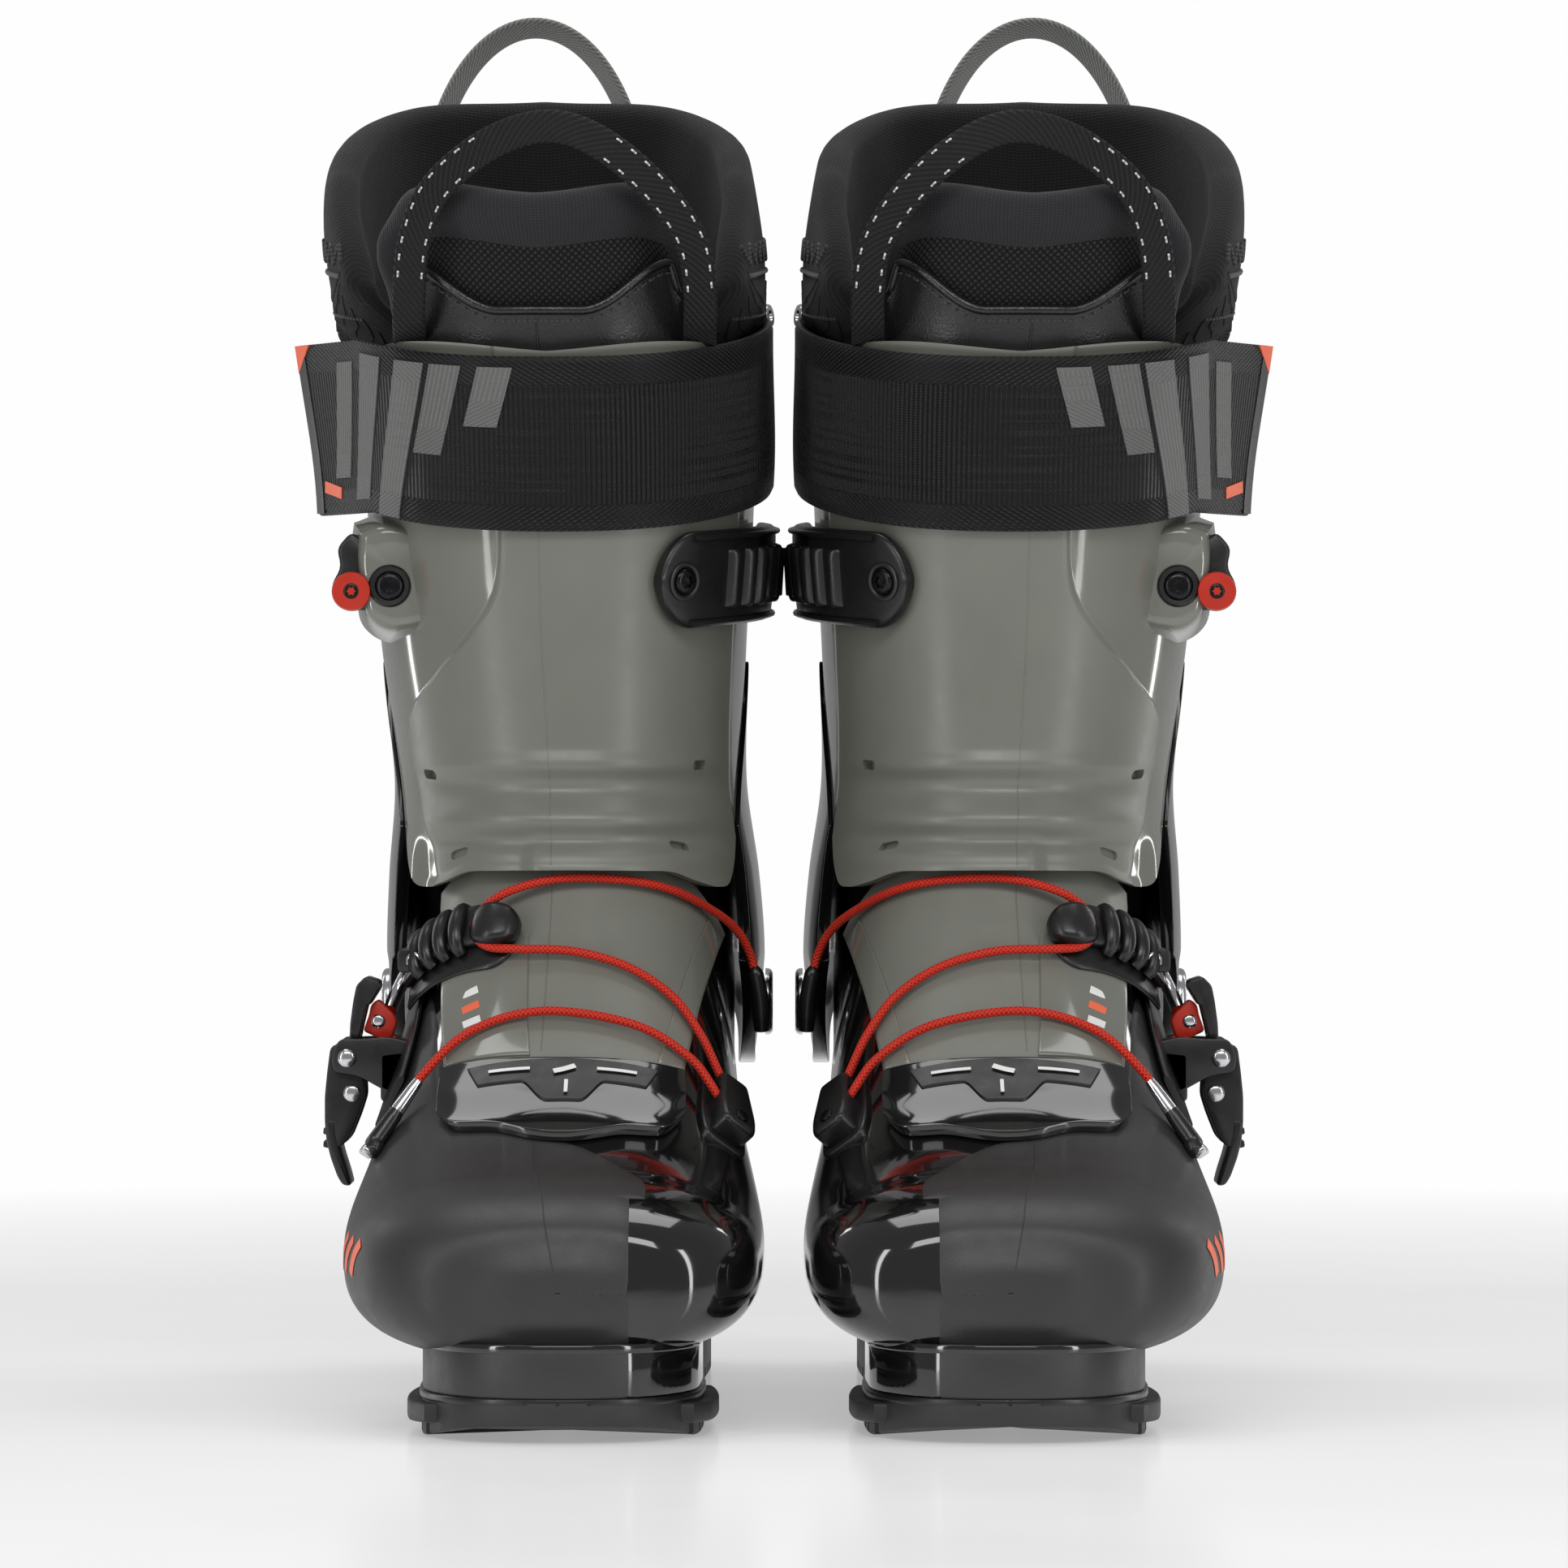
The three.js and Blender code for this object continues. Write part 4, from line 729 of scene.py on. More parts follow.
def soles():
    whole = sole_outline(70)
    front = clipped(whole, -1, 1, -40)
    lug = clipped(front, -1, 0, SPLIT)
    put("lug_matte", sole_slab(lug, 11, 24.2, 0.9), "shell", MATTE)
    put("lug_gloss", sole_slab(clipped(front, 1, 0, SPLIT), 11, 23.9, 0.9), "shell", GLOSS)
    lip = clipped(sole_outline(70, 0.5), -1, 1, -100)
    put("lug_lip", sole_slab(lip, 22.2, 24.6, 0.5), "shell", GLOSS)
    middle = clipped(clipped(sole_outline(68), 1, 1, -44), -1, 1, 92)
    put("sole_waist", sole_slab(middle, 14.5, 24.5, 1.2), "shell", GLOSS)
    heel = clipped(whole, 1, 1, 88)
    put("heel_lug", sole_slab(heel, 16.1, 31, 1.0), "shell", GLOSS)
    put("heel_lug_groove", sole_slab(clipped(sole_outline(70, 0.45), 1, 1, 96), 21.5, 24.5, 0.4), "shell",
        MATTE)
    # the grip soles, with bars cut across their undersides
    def bars(start, end, step, tilt):
        cutters = []
        for i, y in enumerate(np.arange(start, end, step)):
            for sign in (-1, 1):
                bar = [(sign * 4, y), (sign * 60, y + tilt), (sign * 60, y + tilt + 3.4), (sign * 4, y + 3.4)]
                cutters.append(prism(bar, -2, 3.2 if start > 0 else 4.2, edge=0.05))
        return joined(*cutters)

    toe = clipped(sole_outline(70.5), -1, 1, TOE_END)
    put("toe_grip", sole_slab(toe, 0, 10.8, 0.7, rocker), "shell", RUBBER, "toe_sole",
        cut=bars(-132, -62, 11, 6))
    wings = clipped(clipped(sole_outline(77.6), -1, 1, -62), 1, 1, -134)
    put("toe_wings", sole_slab(wings, 3.2, 8.2, 0.8, lambda v: 0.9 * smooth(-105, -140, v[:, 1])), "shell",
        RUBBER)
    rand = clipped(sole_outline(71.4), -1, 1, TOE_END)
    put("toe_rand", sole_slab(rand, 9.2, 11.2, 0.4), "shell", BLACK)
    grip = clipped(sole_outline(70.5), 1, 1, HEEL_START + 4)
    put("heel_grip", sole_slab(grip, 0, 15.6, 0.9), "shell", RUBBER, "heel_sole",
        cut=bars(72, 140, 12, -5))
    put("heel_rand", sole_slab(clipped(sole_outline(71.6), 1, 1, HEEL_START + 2), 11.6, 13.4, 0.4), "shell",
        BLACK)


put("shell_skin", shell_skin(), "shell", GLOSS, "lower_shell")
put("shell_overmould", overmould(), "shell", MATTE)
soles()


def foot_patch(low, high, start, end, outer, inner, columns=60, rows=50, square=0.0):
    """A plate on the shell between two rings and two angles, each given as a function."""
    v, u = np.meshgrid(np.linspace(0, 1, rows), np.linspace(0, 1, columns), indexing="ij")
    ring = mix(low(u), high(u), v)
    angle = mix(start(ring), end(ring), u)
    return wall(foot(ring, angle, outer(u, v) if callable(outer) else outer), foot(ring, angle, inner))


def always(value):
    return lambda _: value + 0 * np.asarray(_, float)


def line(*rows):
    return lambda t: curve(rows, t)


def flap_start(u):
    return 6.3 - 0.1 * np.sin(np.pi * u)


flap_left, flap_right = line([6, -28], [7.8, -37.5], [10, -45]), line([6, 30], [8, 43], [10.6, 62])
put("instep_flap", foot_patch(flap_start, always(10.4), flap_left, flap_right, 2.7, 0.9, 90, 60), "shell",
    GREY, "instep_flap", bevel=0.5)
overlap_edge = line([6.2, -5], [6.9, -6.5], [8.9, -8.5], [10.4, -9])
put("instep_overlap", foot_patch(line([0, 6.34], [1, 6.26]), always(8.35), lambda r: flap_left(r) + 1.2,
                                 overlap_edge, 3.35,
                                 2.6, 40, 40), "shell", GREY_GLOSS, bevel=0.3)
put("instep_edge", foot_patch(line([0, 6.28], [1, 6.36]), always(9.9), lambda r: flap_right(r) - 9,
                              lambda r: flap_right(r) - 1,
                              3.1, 2.6, 12, 50), "shell", GREY_GLOSS, bevel=0.2)


def plate_low(u):
    return curve([[0, 5.5], [0.08, 5.2], [0.3, 5.02], [0.42, 4.82], [0.5, 4.76], [0.58, 4.82], [0.7, 4.98],
                  [0.9, 5.12], [1, 5.5]], u)


put("toe_plate", foot_patch(plate_low, lambda u: flap_start(u) - 0.05, always(-29), always(31),
                            lambda u, v: 4.3 - 0.9 * smooth(0.55, 0.0, v), 0.6, 90, 36), "shell", GLOSS,
                            "toe_plate", bevel=0.7)


def strip(points, width, lift, thick, closed=False, count=60):
    """A thin band lying on the shell along points of [ring, angle]."""
    p = np.asarray(points, float)
    fine = spline(np.column_stack([p, np.zeros(len(p))]), count)
    at = on_foot(fine[:, 0], fine[:, 1], np.full(count, lift))
    out = foot_out(fine[:, 0], fine[:, 1])
    return ribbon(at, unit(np.cross(unit(np.gradient(at, axis=0)), out)), out, width, thick)


def inlay():
    v, u = np.meshgrid(np.linspace(0, 1, 26), np.linspace(-1, 1, 90), indexing="ij")
    low = 5.72 - 0.36 * smooth(0.42, 0.12, np.abs(u)) - 0.03 * np.abs(u)
    high = 6.08 - 0.05 * np.abs(u)
    ring, angle = mix(low, high, v), 1 + u * mix(17.5, 21, v)
    return wall(foot(ring, angle, 5.0), foot(ring, angle, 3.4))


put("toe_inlay", inlay(), "shell", BLACK, bevel=0.5)
for name, ends in (("left", ([5.98, -15], [5.99, -5])), ("right", ([5.99, 7], [5.98, 17]))):
    put(f"toe_inlay_bar_{name}", strip(ends, 1.0, 4.95, 0.25, count=12), "shell", PRINT_WHITE)
put("toe_inlay_mark", strip([[5.56, 1], [5.78, 1]], 1.0, 4.95, 0.25, count=10), "shell", PRINT_WHITE)
put("toe_inlay_dot", strip([[5.93, -0.6], [6.03, 2.4]], 1.6, 4.95, 0.25, count=10), "shell", PRINT_WHITE)
for i, (name, look) in enumerate((("white", PRINT_WHITE), ("orange", ORANGE), ("white_low", PRINT_WHITE))):
    ring = 7.55 - 0.27 * i
    put(f"instep_print_{name}", strip([[ring, -27.5 + i], [ring + 0.03, -22 + i]], 2.6, 3.3, 0.15, count=10),
        "shell", look)
for i in range(3):
    put(f"toe_side_print_{i}", strip([[3.1 + 0.42 * i, -78], [3.45 + 0.42 * i, -92]], 3.2, 0.45, 0.15,
                                     count=14), "shell", ORANGE)


# ---------------------------------------------------------------- cuff
def cuff_lateral_edge(z):
    return curve([[138, 44], [146.6, 46], [160, 54], [170, 57], [180, 55.5], [189, 42], [199, 26.5],
                  [207, 18.2], [215, 13.7], [228, 12], [280, 11]], z)


def cuff_relief(angle, z):
    """How far the cuff's front stands off its plain surface."""
    front = np.exp(-((angle / 46.0) ** 4))
    folds = curve([[139, 0.2], [144.2, 1.6], [148.2, -0.9], [154, 2.5], [161.6, -1.2], [167.6, 0.9],
                   [172, 0.0]], z)
    step = 0.8 * smooth(164, 169, z)
    lateral = smooth(0.0, 1.4, -angle - cuff_lateral_edge(z))
    medial = smooth(0.0, 1.4, angle - 64)
    hem = 0.9 * smooth(2.6, 0.6, z - cuff_low(angle)) * smooth(60, 40, np.abs(angle))
    room = 2.3 * smooth(151, 143, z) * smooth(-6, -12, angle) * smooth(-58, -50, angle)
    rim = 0.7 * smooth(2.2, 0.6, cuff_high(angle) - z)
    sides = 0.75 * lateral + 0.6 * medial + room + 0.6
    return front * folds + step * np.exp(-((angle / 60.0) ** 6)) + hem + rim - sides


def cuff_grid(rows=150):
    v = np.linspace(0, 1, rows)[:, None]
    z_mid = mix(138, 276, v)
    edge = cuff_lateral_edge(z_mid)
    fixed = np.concatenate([
        -103 + (103 - edge - 1.5) * np.linspace(0, 1, 55), -edge - 1.5 + 1.6 * np.linspace(0.2, 1, 5),
        mix(-edge + 0.1, 62 + 0 * edge, np.linspace(0.02, 1, 100)), 62 + 0 * edge + 3.5
        * np.linspace(0.2, 1, 6), 65.5 + 37.5 * np.linspace(0.05, 1, 24) + 0 * edge], 1)
    return fixed, v


def cuff_front():
    angle, v = cuff_grid()
    z = mix(cuff_low(angle), cuff_high(angle), v)
    outer = leg(angle, z, cuff_relief(angle, z))
    made = wall(outer, leg(angle, z, -CUFF_WALL))
    rows, columns = angle.shape
    count = (rows - 1) * (columns - 1)
    c = np.tile(np.arange(columns - 1), rows - 1)
    chosen = np.zeros(len(made[1]), int)
    chosen[:count] = ((c < 56) | (c > 163)).astype(int)
    return made, chosen


def slot_cut(angle, z, tilt):
    at, out = on_leg(angle, z, 0.0), leg_out(angle, z)
    side = unit(np.cross((0, 0, 1), out))
    up = np.cross(out, side)
    a = math.radians(tilt)
    x, y = side * math.cos(a) + up * math.sin(a), up * math.cos(a) - side * math.sin(a)
    outline = np.array([(2.1 + 1.25 * math.cos(t), 1.25 * math.sin(t)) for t in np.linspace(-np.pi / 2, np.pi
                                                                                            / 2, 9)]
                       + [(-2.1 + 1.25 * math.cos(t), 1.25 * math.sin(t)) for t in np.linspace(np.pi / 2, 1.5
                                                                                               * np.pi, 9)])
    return moved(prism(outline, -3.0, 3, edge=0.05), at, x, y, out)


made, chosen = cuff_front()
seam_z = np.linspace(142, 274, 160)
seam_a = np.full(160, -3.0)
put("cuff_mould_line", rope(leg(seam_a, seam_z, cuff_relief(seam_a, seam_z) - 0.02), 0.16, 8), "cuff",
    GREY_GLOSS)
ring = np.linspace(-0.6, 4.7, 90)
put("toe_mould_line", rope(foot(ring, np.full(90, -3.2), 0.4), 0.17, 8), "shell", MATTE)
ring = np.linspace(6.35, 10.2, 60)
put("flap_mould_line", rope(foot(ring, np.full(60, -3.0), 2.72), 0.15, 8), "shell", GREY_GLOSS)
put("cuff_front", made, "cuff", [GREY, GREY_GLOSS], "cuff_front", chosen=chosen,
    cut=joined(slot_cut(-46.5, 165.5, -4), slot_cut(45, 168, 3), slot_cut(-33.5, 145.2, 14),
               slot_cut(34.5, 147, -8)))


def pod():
    """The boss that carries the lateral screw: a rounded wedge that runs out into the cuff's front."""
    front = float(leg(-58, 216)[1]) - 12
    edge = [(-55.6, 0, 229.5), (-48, 0, 231.6), (-37.6, 0, 229), (-29.5, 0, 223), (-26.6, 0, 216.4),
            (-30.4, 0, 208.6),
            (-39.5, 0, 203.8), (-48, 0, 203), (-53.6, 0, 206.6), (-55.2, 0, 213), (-56.4, 0, 222),
            (-55.6, 0, 229.5)]
    rim = spline(edge, 97)[:-1][:, [0, 2]]
    middle = np.array([-44.0, 215.6])
    rings = []
    for scale, back in ((1.2, 22), (1.08, 9), (1.0, 4.4), (0.955, 2.2), (0.9, 0.9), (0.82, 0.2), (0.66, 0),
                        (0.3, 0), (0.02, 0)):
        p = middle + (rim - middle) * scale
        lean = -7.5 * smooth(-40.5, -27, p[:, 0]) - 2.0 * smooth(221, 231, p[:, 1])
        rings.append(np.stack([p[:, 0], front + back + lean, p[:, 1]], 1))
    return tube(np.array(rings))


put("cuff_boss", pod(), "cuff", GREY_GLOSS)


def leg_patch(start, end, low, high, outer, inner, columns=60, rows=40):
    v, u = np.meshgrid(np.linspace(0, 1, rows), np.linspace(0, 1, columns), indexing="ij")
    angle = mix(start, end, u)
    z = mix(low(angle), high(angle), v)
    offset = [side(angle, z) if callable(side) else side for side in (outer, inner)]
    return wall(leg(angle, z, offset[0]), leg(angle, z, offset[1]))


def base_high(angle):
    a = facing(angle)
    return np.where(a < 96, np.minimum(cuff_low(a) - 1.4, base_top(a)), base_top(a) - 1.4)


def base_relief(angle, z):
    a = facing(angle)
    ankle = np.hypot((a - 84) * 0.9, z - 104)
    return 0.6 * smooth(2.4, 0.8, z - base_low(angle)) - 0.5 * smooth(15, 11, ankle) - 0.2


put("cuff_base", leg_patch(67, 293, base_low, base_high, base_relief, -CUFF_WALL, 220, 60), "cuff", GLOSS,
    "cuff_base", bevel=0.5)

ANKLE = np.array([0, 50.0, 104.0])
PIVOT_OUT = float(leg(90, 104)[0])
head = [(0.01, 0), (9, 0), (9, 0.9), (8.6, 1.6), (7.8, 2.0), (6.4, 2.0), (6.0, 1.5), (5.6, 1.3), (3.2, 1.3),
        (2.7, 1.0), (0.01, 1.0)]
for name, sign in (("lateral", -1), ("medial", 1)):
    at = ANKLE + (sign * (PIVOT_OUT + 0.5), 0, 0)
    made = moved(lathe(head, 40), at, (0, sign, 0), (0, 0, 1), (sign, 0, 0))
    put(f"{name}_pivot", made, "shell", STEEL, f"{name}_pivot_rivet")


# ---------------------------------------------------------------- screws and pins
def basis(out, up=(0, 0, 1)):
    out = np.asarray(out, float)
    side = unit(np.cross(up, out))
    return side, np.cross(out, side), out


def torx(radius, depth, top):
    a = np.linspace(0, 2 * np.pi, 48, endpoint=False)
    r = radius * (1 + 0.16 * np.cos(6 * a))
    return prism(np.stack([r * np.cos(a), r * np.sin(a)], 1), top - depth, top + 2, edge=0.02)


def screw(name, body, at, out, radius, tall, look, stands_for=(), drive=True):
    """A round-headed screw or rivet, its head standing off a surface."""
    x, y, z = basis(out)
    profile = [(0.01, -2.5), (radius * 0.9, -2.5), (radius, tall * 0.35), (radius * 0.97, tall * 0.62),
               (radius * 0.84, tall * 0.86), (radius * 0.62, tall), (0.01, tall * 1.02)]
    cut = moved(torx(radius * 0.46, tall * 0.7, tall), at, x, y, z) if drive else None
    put(name, moved(lathe(profile, 36), at, x, y, z), body, look, stands_for, cut=cut)


BOSS_SCREW = np.array([-47.5, float(leg(-58, 216)[1]) - 12.0, 215.0])
screw("boss_screw", "cuff", BOSS_SCREW, (0, -1, 0), 3.7, 1.5, DARK_STEEL, "boss_screw")
put("boss_screw_seat", moved(lathe([(3.6, -1.5), (5.6, -1.5), (5.6, 0.2), (5.0, 0.75), (3.9, 0.6), (3.6, 0)],
                                   36), BOSS_SCREW, *basis((0, -1, 0))), "cuff", BLACK)

# ---------------------------------------------------------------- closure link and its arm
LINK_Z = 217.0


def along_leg(angle, z, lift):
    """A line along the cuff at given heights, with its outward and upward axes."""
    at = on_leg(angle, z, lift)
    out = leg_out(angle, z)
    ahead = unit(np.gradient(at, axis=0))
    return at, unit(np.cross(out, ahead)), out


angles = np.linspace(-71, -113, 40)
at, across, out = along_leg(angles, LINK_Z + (angles + 72) * -0.12,
                            np.interp(angles, [-113, -90, -71], [2.6, 2.3, 4.6]))
put("closure_link", ribbon(at, across, out, 11.5, 3.2, columns=14), "cuff", RED_WEB, "closure_link")
arm = rounded([(-59.6, 209), (-49.5, 208.2), (-49.5, 213), (-46.6, 213), (-46.6, 217.4), (-50, 217.8),
               (-51.6, 224), (-57.6, 229.5), (-61.6, 225), (-60.4, 220), (-63.2, 215)], 2.0)
arm_front = BOSS_SCREW[1] + 2.2
put("closure_arm", prism(arm, arm_front, arm_front + 8.5, "xz", edge=0.8), "cuff", BLACK, bevel=0)
put("closure_arm_ring", moved(lathe([(2.4, -3), (4.9, -3), (5.2, -1.5), (5.2, 1.5), (4.9, 3), (2.4, 3)], 32),
                              (-57.6, arm_front - 0.2, 213.6), *basis((0, -1, 0))), "cuff", RED)
screw("closure_arm_pin", "cuff", np.array([-57.6, arm_front - 2.2, 213.6]), (0, -1, 0), 2.4, 1.2, DARK_STEEL)

# ---------------------------------------------------------------- ladder strap
def ladder():
    a = np.linspace(0, 1, 150)
    angle = mix(26, 106, a)
    z = 216 + (angle - 26) * 0.07
    at, across, out = along_leg(angle, z, np.full(len(a), 0.9))
    end = np.minimum(a / 0.14, 1)
    width = 25.5 * np.sqrt(np.clip(1 - (1 - end) ** 2, 0.02, 1))
    ends = smooth(46, 49, angle) * smooth(91, 88, angle)
    ribs = 1.5 * np.clip(np.sin((angle - 48) / 8.0 * 2 * np.pi - 0.6), 0, 1) ** 0.6 * ends
    return ribbon(at, across, out, width, np.full(len(a), 4.2), columns=16), (at, across, out, ribs, width)


made, (at, across, out, ribs, width) = ladder()
put("ladder_strap", made, "cuff", BLACK, "ladder_strap")
lift = at + out * 3.4
put("ladder_ribs", ribbon(lift[38:122], across[38:122], out[38:122], 15.5, 1.0 + ribs[38:122] * 1.5,
                          columns=14), "cuff", BLACK)
put("ladder_rim", joined(*[rope(at[18:148:2] + out[18:148:2] * 4.4
                                + across[18:148:2] * (width[18:148:2] / 2 - 1.6)[:, None] * sign, 0.8, 8)
                           for sign in (-1, 1)]), "cuff", BLACK)
spot = on_leg(33, 216.5, 5.0)
screw("ladder_screw", "cuff", spot, leg_out(33, 216.5), 3.5, 1.4, DARK_STEEL, "ladder_screw")
put("ladder_screw_seat", moved(lathe([(3.4, -1.2), (5.4, -1.2), (5.2, 0.5), (4.6, 0.8), (3.7, 0.5), (3.4, 0)],
                                     32), spot, *basis(leg_out(33, 216.5))), "cuff", BLACK)
teeth = []
for tooth in np.linspace(70, 92, 4):
    p, o = on_leg(tooth, 217 + tooth * 0.04, 5.6), leg_out(tooth, 218)
    x, y, z = basis(o)
    teeth.append(moved(prism(rounded([(-1.6, -1), (2.6, -1), (0.6, 2.2), (-0.9, 1.6)], 0.4), -6.5, 6.5,
                             edge=0.4), p, -x, z, y))
put("ladder_teeth", joined(*teeth), "cuff", BLACK)

# ---------------------------------------------------------------- power strap
class Path:
    """The power strap's middle line, in millimetres from the cuff's front, lateral side negative."""

    def __init__(self):
        angle = np.linspace(100, -58, 400)
        lines = []
        for v in (0, -22.5, 22.5):
            p = leg(angle, 251 + 13 * (1 - np.cos(np.radians(angle))) + v)
            away = unit((p[-1] - p[-2]) * (1, 1, 0))
            curl = np.array([-1, -1, 0]) * (np.linspace(0, 1, 60) ** 2)[:, None] * 1.5
            lines.append(np.concatenate([p, p[-1] + away * np.linspace(0.4, 35, 60)[:, None] + curl]))
        self.points, low, high = lines
        self.slope, self.bow = (high - low) / 45, (high + low - 2 * self.points) / (2 * 22.5 ** 2)
        self.s = np.concatenate([[0], np.linalg.norm(np.diff(self.points, axis=0), axis=1).cumsum()])
        self.s = -(self.s - self.s[np.argmin(np.abs(angle))])
        ahead = unit(np.gradient(self.points, axis=0) * (1, 1, 0))
        self.out = unit(np.cross(ahead, (0, 0, 1)))
        if self.out[250] @ (0, 1, 0) > 0:
            self.out = -self.out

    def at(self, s, v, lift):
        s, v, lift = np.broadcast_arrays(s, v, lift)
        order = np.argsort(self.s)
        p, o, slope, bow = (np.stack([np.interp(s, self.s[order], part[order, k]) for k in range(3)], -1)
                            for part in (self.points, self.out, self.slope, self.bow))
        return p + unit(o) * lift[..., None] + slope * v[..., None] + bow * v[..., None] ** 2


path = Path()
LOW, HIGH = path.s.min(), path.s.max()


def strap_panel(low, high, thick, lift, edge=0.8, columns=260, rows=26):
    s = np.linspace(low, high, columns)[None]
    v = np.linspace(-22.5, 22.5, rows)[:, None]
    wave = 0.35 * np.sin(s / 21.0) * np.sin(v / 9.0)
    rim = np.minimum((22.5 - np.abs(v)) / 1.4, 1) ** 0.5
    return wall(path.at(s, v, lift + thick * (0.72 + 0.28 * rim) + wave), path.at(s, v, lift + wave * 0.5))


put("power_strap", strap_panel(LOW, HIGH, 2.6, 1.1), "cuff", STRAP, "power_strap",
    bevel=0.5)


def decal(name, corners, look, lift=3.95, body="cuff", count=(26, 12)):
    """A printed shape with four corners, each [distance along the strap, height on it]."""
    c = np.asarray(corners, float)
    u, v = np.meshgrid(np.linspace(0, 1, count[0]), np.linspace(0, 1, count[1]))
    low, high = c[0] + u[..., None] * (c[1] - c[0]), c[3] + u[..., None] * (c[2] - c[3])
    q = mix(low, high, v[..., None])
    s, h = q[..., 0], q[..., 1]
    wave = 0.35 * np.sin(s / 21.0) * np.sin(h / 9.0)
    put(name, wall(path.at(s, h, lift + wave), path.at(s, h, lift - 0.5 + wave)), body, look)


for i, (start, low, high, wide) in enumerate(((-76, -13, 17, 9.5), (-62, -19, 19.5, 9.5),
                                              (-47, -22, 19.5, 9.5), (-33, -4, 19.5, 8.5),
                                              (-19, 4, 19.5, 8.5))):
    lean = (high - low) * 0.3
    decal(f"strap_bar_{i}", [(start - lean / 2, low), (start - lean / 2 + wide, low),
                             (start + lean / 2 + wide, high), (start + lean / 2, high)], STRAP_PRINT)
decal("strap_corner", [(LOW + 0.2, 22.3), (LOW + 0.2, 15.2), (LOW + 0.25, 15.1), (LOW + 7.6, 22.3)], ORANGE,
      3.98)
decal("strap_dash", [(LOW + 6, -16.5), (LOW + 16, -18.5), (LOW + 16.6, -15.5), (LOW + 6.6, -13.5)], ORANGE,
      3.98)
decal("strap_tab_panel", [(LOW + 0.4, -22), (LOW + 4.6, -22), (LOW + 4.6, 22), (LOW + 0.4, 22)], BLACK, 3.9)
ring_profile = [(1.6, -0.8), (3.1, -0.8), (3.4, 0), (3.1, 0.8), (1.6, 0.8), (1.3, 0)]
put("medial_strap_ring", moved(lathe(ring_profile, 28), path.at(HIGH - 5, 23.5, 2.4),
                               *basis((0.9, -0.3, 0.1))), "cuff", STEEL)


# ---------------------------------------------------------------- instep buckle
SEAT = foot(8.2, -66)
HINGE = SEAT + (-15.5, 0, -1.3)
BAIL = HINGE + (1.2, 0, -9.2)
HALF = 10.0  # half the lever's width, along the foot


def profile(origin, outline, start, end, radius=1.2, edge=0.4):
    """An outline in the plane of the buckle's side, drawn out along the foot about an origin."""
    p = rounded(outline, radius) + np.array([origin[0], origin[2]])
    return prism(p, origin[1] + start, origin[1] + end, "xz", edge=edge)


def both(origin, outline, near, far, radius=1.2):
    return joined(profile(origin, outline, near, far, radius), profile(origin, outline, -far, -near, radius))


def cross_pin(at, radius, half, tall=0.9):
    """A riveted pin along the foot, with a domed head at each end."""
    rows = [(0.01, -half - tall), (radius * 0.8, -half - tall), (radius * 1.25, -half - tall * 0.4),
            (radius * 1.3, -half),
            (radius, -half), (radius, half), (radius * 1.3, half), (radius * 1.25, half + tall * 0.4),
            (radius * 0.8, half + tall), (0.01, half + tall)]
    return moved(lathe(rows, 28), at, *basis((0, -1, 0)))


ear = [(-3.5, -3.6), (3, -4.6), (9, -8), (18, -12), (18, 4), (11, 5.6), (4, 5), (-2, 5), (-4, 1)]
base = [(8.8, -11), (18, -14), (18, 2), (8.8, 1)]
put("buckle_base", joined(both(HINGE, ear, 10.35, 12.35, 1.6), profile(HINGE, base, -12.35, 12.35, 1.0)),
    "shell", BLACK, "buckle_base")
skirt = strip([[6.9, -62], [8.0, -60], [9.2, -60]], 19, 0.55, 1.7, count=26)
put("buckle_foot", skirt, "shell", BLACK)
put("hinge_rivet", cross_pin(HINGE, 1.9, 12.35), "shell", STEEL)
cheek = [(-4.4, 3), (-5.2, -3), (-5.9, -10), (-5.9, -17), (-5.2, -23), (-2, -23.5), (0.6, -21), (3, -15),
         (4.6, -10), (4.2, -3), (3.4, 3.4), (0, 4.4)]
handle = [(-5.9, -16), (-5.5, -21.5), (-4.4, -26), (-2.6, -31), (-1.2, -33.2), (1, -33.4), (0.2, -30),
          (-1.4, -25), (-2.6, -20), (-2.9, -16)]
fins = [profile(HINGE, [(-6.5, z), (-4.2, z - 0.4), (-4.0, z + 1.6), (-6.3, z + 1.8)], -7.2, 7.2, 0.5,
                0.3) for z in (-20, -23.4)]
put("instep_lever", joined(both(HINGE, cheek, 7.9, 9.95, 1.4), profile(HINGE, handle, -HALF, HALF, 1.0, 0.7),
                           *fins), "instep_lever", BLACK, "instep_lever")
put("lever_rivet", cross_pin(BAIL, 1.8, 9.95, 0.7), "instep_lever", STEEL)
arm = [(-2.6, -2.8), (0, -3.6), (2.4, -2.8), (3, 2), (3, 6), (4.2, 9.5), (4.4, 12), (1.5, 14.6), (-0.8, 14),
       (-2.2, 10), (-2.8, 5)]
hood = [(-0.8, 13.0), (1.6, 13.2), (2.6, 18), (3.8, 23), (7.2, 27.4), (7.0, 29.2), (3.4, 30.4), (1.0, 28),
        (0.2, 24), (-0.6, 18)]
bridge = [(-0.9, 12), (1.6, 11.8), (1.9, 15.4), (0, 15.6)]
put("bail_frame", joined(both(BAIL, arm, 5.85, 7.65, 1.2), profile(BAIL, bridge, -7.6, 7.6, 0.6),
                         both(BAIL, hood, 5.2, 7.65, 0.9),
                         profile(BAIL, [(2.2, 23.2), (4.2, 22.6), (7.2, 27.4), (7.0, 29.2), (3.4, 30.4),
                                        (1.4, 28)], -7.6, 7.6, 0.8)), "bail", BLACK, "bail_frame")
nut = [(2.6, 16), (8.4, 13.4), (10.2, 14.4), (11.6, 18.4), (10.6, 20.6), (6.4, 24.4), (4.6, 22.8),
       (4.2, 20.4)]
